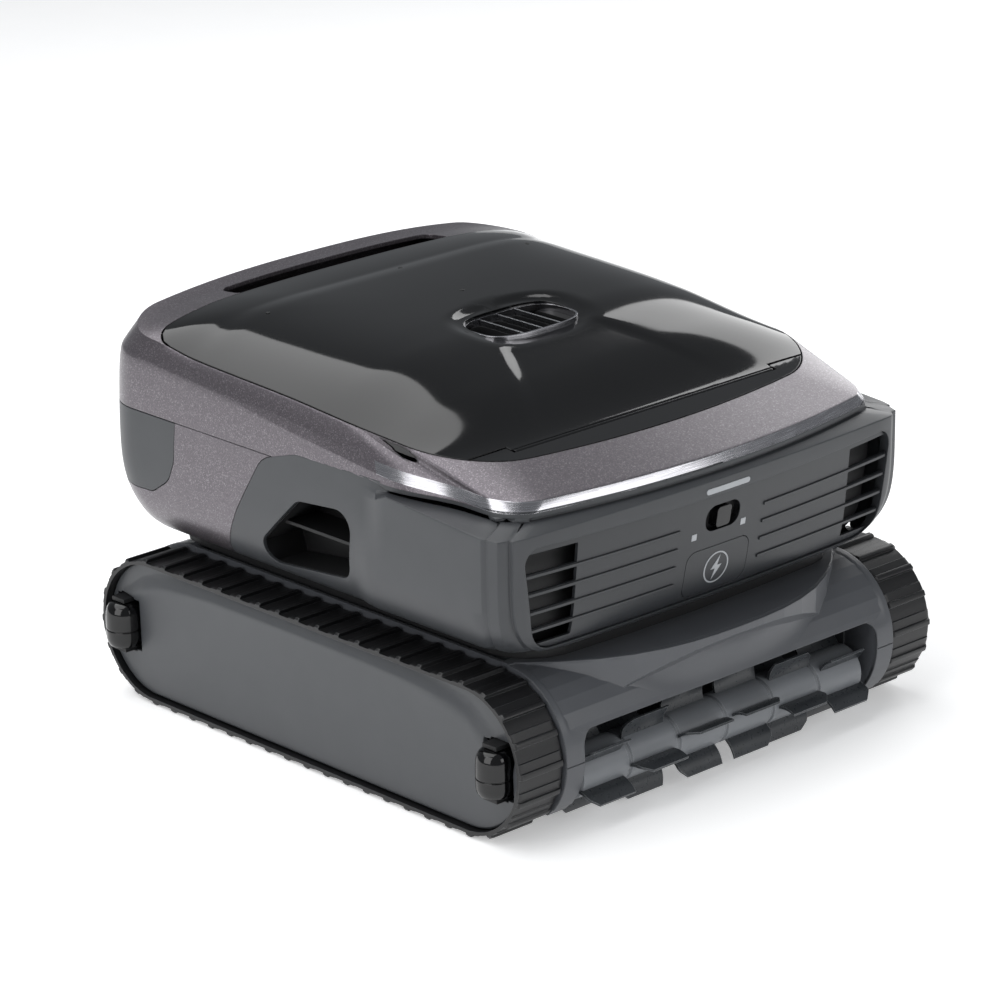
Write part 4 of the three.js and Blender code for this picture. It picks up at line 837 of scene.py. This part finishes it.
# %% Vent, sensor windows and finger cup
rim = carve(prism("z", oval, 293, 298.2, "vent_rim"),
            prism("z", [(x * 0.967, VENT[1] + (y - VENT[1]) * 0.945) for x, y in oval], 200, 400))
done(rim, cut_edge, "lid", ["vent_grille"])
floor_plate = prism("z", [(x * 0.985, VENT[1] + (y - VENT[1]) * 0.98) for x, y in oval], 285, 293, "vent_well")
for x in (-27.9, -9.3, 9.3, 27.9):
    floor_plate = carve(floor_plate, prism("z", rounded_box(x - 8.4, x + 8.4, VENT[1] - 23, VENT[1] + 23, 5), 200, 400))
done(floor_plate, inner_black, "lid")
for index, x in enumerate((-18.6, 0, 18.6)):
    slat = prism("z", rounded_box(x - 0.6, x + 0.6, VENT[1] - 24.5, VENT[1] + 24.5, 0.5), 287, 297.4,
                 f"vent_slat_{index + 1}")
    done(slat, turned_steel, "lid")
for index, (x, y) in enumerate(((-130, 121), (11.6, 131.8), (4.3, 55.7), (129, 116))):
    z = lid_height(x, y)
    window = lathe([(0.01, -2), (1.9, -2), (1.9, 0.15), (1.5, 0.35), (0.01, 0.4)], (x, y, z), "z",
                   f"sensor_window_{index + 1}", 20)
    done(window, inner_black, "lid")
cup = carve(prism("z", rounded_box(-108.5, 108.5, 182.6, 208, 9), 262, 292, "finger_cup"),
            prism("z", rounded_box(-106.5, 106.5, 184, 206, 8), 265, 400))
cup = carve(cup, body("inside", 1.5), "INTERSECT")
done(cup, inner_black, "chassis")
print("vent rim top at 298.2, lid there at", round(lid_height(0, 14), 1))

# %% [markdown]
# Each track is one moulded belt. Every pitch has a tall bar that grips the floor and a low step
# behind it, and both are chamfered at the belt's edges. The loop is walked once, at the same steps
# for the outside and the inside, and a few copies of it across the width make the skin.

# %% Belts
low, high = place("left_belt")
AXLE_Z = (low.z + high.z) / 2
AXLE_Y = 174.4
BELT_R, INNER_R, LUGS = AXLE_Z - 3, AXLE_Z - 5.5, 48
LOOP = 4 * AXLE_Y + math.tau * BELT_R


def loop_point(distance, r):
    """A point of the track loop in (y, z), at a distance along the belt and a radius at the wheels."""
    distance %= LOOP
    bend = math.pi * BELT_R
    if distance < 2 * AXLE_Y:
        return -AXLE_Y + distance, AXLE_Z + r
    distance -= 2 * AXLE_Y
    if distance < bend:
        angle = math.pi / 2 - distance / BELT_R
        return AXLE_Y + r * math.cos(angle), AXLE_Z + r * math.sin(angle)
    distance -= bend
    if distance < 2 * AXLE_Y:
        return AXLE_Y - distance, AXLE_Z - r
    angle = -math.pi / 2 - (distance - 2 * AXLE_Y) / BELT_R
    return -AXLE_Y + r * math.cos(angle), AXLE_Z + r * math.sin(angle)


PITCH = LOOP / LUGS
TREAD = [(0, 0), (0.5, 2.7), (1.1, 3), (4.0, 3), (4.6, 2.7), (5.1, 1.2), (11.4, 1.1), (12.0, 0), (16.5, 0), (19, 0)]
stations = [(lug * PITCH + at, lift) for lug in range(LUGS) for at, lift in TREAD]
rows = [[(x, *loop_point(s, INNER_R)) for s, _ in stations] for x in (-171.5, -212.5)]
for x, share in ((-212.5, 0.45), (-211.2, 0.95), (-209, 1), (-175, 1), (-172.8, 0.95), (-171.5, 0.45)):
    rows.append([(x, *loop_point(s, BELT_R + lift * share)) for s, lift in stations])
faces = grid_faces(len(rows), len(stations))
last = (len(rows) - 1) * len(stations)
faces += [[i, (i + 1) % len(stations), last + (i + 1) % len(stations), last + i] for i in range(len(stations))]
belt = raw("left_track_belt", [p for row in rows for p in row], faces)
other = mirrored(belt, "right_track_belt")
done(belt, belt_rubber, "chassis", ["left_belt"])
done(other, belt_rubber, "chassis", ["right_belt"])
print("belt", len(belt.data.polygons), "faces,", LUGS, "bars", round(PITCH, 2), "mm apart")

# %% [markdown]
# The side covers look flat at a glance, but a crease runs round under their upper edge: above it the
# face leans in and catches the sky, below it the face is very slightly dished. The outline is drawn
# as rings that step in from the edge, and each point is then moved in or out by the crease.

# %% Side covers
crease = curve([(-226, 58), (-205, 64), (-195, 71), (-173, 87), (-150, 93), (-98, 99), (0, 100.5), (98, 100),
                (150, 96), (185, 87), (205, 74), (226, 60)])
COVER_R, COVER_X = 52.3, 209.2


def cover_ring(reach):
    ring = []
    for end, first in ((1, 90), (-1, 270)):
        for step in range(33):
            angle = math.radians(first - 180 * step / 32)
            ring.append((end * AXLE_Y + reach * math.cos(angle), AXLE_Z + reach * math.sin(angle)))
        y, z = ring[-1]
        ring += [(y - end * 2 * AXLE_Y * i / 40, z) for i in range(1, 40)]
    return ring


def cover_depth(y, z, reach):
    over = z - crease(y)
    lean = 0.3 * over if over > 0 else 1.7 * (1 - math.exp(over / 25))
    return lean + 1.6 * max(0.0, 1 - (COVER_R - reach) / 1.6) ** 2


rows = [[(-205.2, y, z) for y, z in cover_ring(reach)] for reach in (4, COVER_R)]
for reach in (52.3, 52.1, 51.6, 50.8, 49.6, 48, 46.5, 45, 43.5, 42, 40.5, 39, 37, 34, 31, 28, 25, 21, 17, 12, 6, 0.5):
    rows.append([(-COVER_X + min(cover_depth(y, z, reach), 3.6), y, z) for y, z in cover_ring(reach)])
plate = tube(rows, "left_side_plate")
for end in (-1, 1):
    pocket = carve(block(-AWAY, 0, end * 205 - 9.4, end * 205 + 9.4, 36.6, 80.4),
                   lathe([(0.01, 38), (15.6, 38), (15.6, 79), (0.01, 79)], (-212, end * 205, 0), "z", "pocket", 32),
                   "UNION")
    plate = carve(plate, pocket)
other = mirrored(plate, "right_side_plate")
done(plate, cover_abs, "chassis", ["left_side_cover"], crease=26)
done(other, cover_abs, "chassis", ["right_side_cover"], crease=26)
print("side plate", len(plate.data.polygons), "faces")

# %% [markdown]
# The guide rollers are glossy black knobs: a wide waist with a parting line between two domes.

# %% Guide rollers
PROFILE = [(3.3, -17.6), (8.6, -17.6), (11.6, -16.6), (13.2, -14.2), (13.9, -10.5), (14, -5), (14, -4.2),
           (13.3, -3.8), (13.3, -3.2), (14, -2.8), (14, 5), (13.7, 9.5), (12.7, 13.4), (10.6, 16.3), (7.6, 17.6),
           (3.3, 17.8)]
for node_name in ("front_left_roller", "front_right_roller", "rear_left_roller", "rear_right_roller"):
    low, high = place(node_name)
    knob = lathe(PROFILE, (low + high) / 2, "z", node_name.replace("roller", "guide_knob"), 40)
    done(knob, piano_black, node_name + "_body", [node_name])

# %% [markdown]
# The shroud over the front brush is one smooth sheet: round near the wheels, and drawn forward to a
# curved crease in the middle. It is laid over the frame's shroud in columns; each column follows the
# round profile at the ends and a straighter fall from the crease in the middle.

# %% Brush shrouds
SHROUD_R = 58.9


def shroud_column(x, inset):
    """The profile of the sheet at one place across the machine, from the deck down to the floor side."""
    middle = max(0.0, 1 - abs(x / 164) ** 2.6)
    crest = -AXLE_Y - 1.6 - 62.6 * middle
    r = SHROUD_R - inset
    column = [(-168.0, 118.3 - inset), ((crest - 168) / 2, 118.3 - inset), (crest + 3 * middle, 118.2 - inset),
              (crest + inset, 117.2 - 1.4 * middle - inset)]
    arc_end = 1.32
    for step in range(1, 11):
        share = step / 10
        angle = arc_end * share
        arc = Vector((-AXLE_Y - r * math.sin(angle), AXLE_Z + r * math.cos(angle)))
        fall = Vector((crest + inset, 114.8 - inset)).lerp(
            Vector((-AXLE_Y - r * math.sin(arc_end), AXLE_Z + r * math.cos(arc_end))), share)
        fall.x += 7 * math.sin(math.pi * share) * middle
        column.append(tuple(arc.lerp(fall, middle ** 0.8)))
    for step in range(1, 15):
        angle = arc_end + (math.pi - 0.85 - arc_end) * step / 14
        column.append((-AXLE_Y - r * math.sin(angle), AXLE_Z + r * math.cos(angle)))
    return column


places = [math.sin(i / 44 * math.pi / 2) * 169.4 for i in range(-44, 45)]
rows = []
for x in places:
    outside, inside = shroud_column(x, 0), shroud_column(x, 2.6)
    rows.append([(x, y, z) for y, z in outside + inside[::-1]])
sheet = tube(rows, "front_shroud_sheet")
sheet = carve(sheet, prism("y", rounded_box(-152, 152, 12, 78, 12), -AWAY, -190))
for side in (-1, 1):
    sheet = carve(sheet, block(*sorted((side * 152.5, side * AWAY)), -AWAY, -231, 55.6, 56.4))
back_sheet = mirrored(sheet, "rear_shroud_sheet", axis=1)
done(sheet, grey_abs, "chassis", crease=24)
done(back_sheet, grey_abs, "chassis", crease=24)
print("shroud sheet", len(sheet.data.polygons), "faces")

# %% [markdown]
# The brushes sweep with stiff blades of cast polyurethane on a pale core. Each blade is a plate that
# bends back slightly, thins towards its tip and has one corner cut off, and the rows are turned by a
# third of a step from column to column, so that they pass the floor one after another.

# %% Brushes
CORE_R, TIP_R, BLADE, HALF_LENGTH = 18.5, 33.8, 42, 149.5


def blade_points(x, turn, flip):
    """Two faces of one bent blade as rows of points."""
    points = []
    for side in (-1, 1):
        for step in range(7):
            share = step / 6
            r = CORE_R - 1.5 + (TIP_R - CORE_R + 1.5) * share
            thick = (1.25 - 0.45 * share) * side
            bend = 1.6 * math.sin(math.pi * share)
            for u in (-BLADE / 2, -BLADE / 4, 0, BLADE / 4, BLADE / 2 - 7 * max(0, (share - 0.6) / 0.4)):
                across = Vector((u * flip, thick + bend, r))
                c, s = math.cos(turn), math.sin(turn)
                points.append(Vector((x + across.x, across.y * c - across.z * s, across.y * s + across.z * c)))
    return points


def brush(name, centre):
    points, faces = [], []
    sheet = grid_faces(7, 5, closed=False)
    rim = [0, 1, 2, 3, 4, 9, 14, 19, 24, 29, 34, 33, 32, 31, 30, 25, 20, 15, 10, 5]
    pitch = (HALF_LENGTH - 3) / 3
    for side in (-1, 1):
        for column in range(3):
            for row in range(5):
                base = len(points)
                turn = -math.tau * (row + column / 3) / 5
                points += blade_points(side * (3 + pitch * (column + 0.5)), -turn, side)
                faces += [[base + i for i in face] for face in sheet]
                faces += [[base + 35 + i for i in face[::-1]] for face in sheet]
                faces += [[base + a, base + b, base + 35 + b, base + 35 + a] for a, b in zip(rim, rim[1:] + rim[:1])]
    blades = raw(name + "_blades", [p + centre for p in points], faces)
    profile = [(4, -HALF_LENGTH)]
    for column in range(-3, 3):
        x = column * pitch
        profile += [(CORE_R - 1.5, x + 1.2), (CORE_R, x + 2.4), (CORE_R, x + pitch - 2.4), (CORE_R - 1.5, x + pitch - 1.2)]
    profile.append((4, HALF_LENGTH))
    core = lathe(profile, centre, "x", name + "_core", 40)
    shaft = lathe([(0.3, -164.2), (4, -164.2), (4, 164.2), (0.3, 164.2)], centre, "x", name + "_shaft", 20)
    return blades, core, shaft


for end in ("front", "rear"):
    low, high = place(end + "_brush")
    blades, core, shaft = brush(end + "_sweeper", Vector((0, (low.y + high.y) / 2, 36.1)))
    done(blades, blade_plastic, end + "_brush_body", [end + "_brush"])
    done(core, core_plastic, end + "_brush_body", [end + "_brush"])
    done(shaft, turned_steel, end + "_brush_body", [end + "_brush"])
print("blades", 30, "per brush")

# %% [markdown]
# What the frame already shapes well keeps its own mesh, and only gets the finish that it would have.

# %% Finishes for the frame's own pieces
FINISH = {"tub_deck": grey_abs, "chassis_tub": grey_abs, "neck_frame": inner_black, "battery_pack": cover_abs,
          "control_box": inner_black, "charge_socket": inner_black, "basket_bail": gear_plastic,
          "basket_screen": lens_plastic, "basket_tub": core_plastic, "impeller": gear_plastic,
          "intake_flap": belt_rubber, "pump_duct": inner_black, "pump_motor": turned_steel}
ENDINGS = (("_drive_motor", turned_steel), ("_pinion", turned_steel), ("_axle", turned_steel),
           ("_brush_gear", gear_plastic), ("_wheel", inner_black), ("_pod_frame", inner_black),
           ("_roller_bracket", inner_black), ("_window_duct", inner_black), ("_belt", belt_rubber),
           ("_side_cover", cover_abs), ("_roller", piano_black), ("_brush_shroud", grey_abs),
           ("_brush", blade_plastic))
kept = 0
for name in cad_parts:
    finish = FINISH.get(name) or next((f for ending, f in ENDINGS if name.endswith(ending)), None)
    if finish:
        for slot in bpy.data.objects[name].material_slots:
            slot.material = finish
        kept += 1
print("frame pieces with a new finish", kept)

# %% [markdown]
# Solids that only served for cutting are removed.

# %% Clear up
for name in ("cover_body", "body_skin", "cowl_body"):
    bpy.data.objects.remove(bpy.data.objects[name])
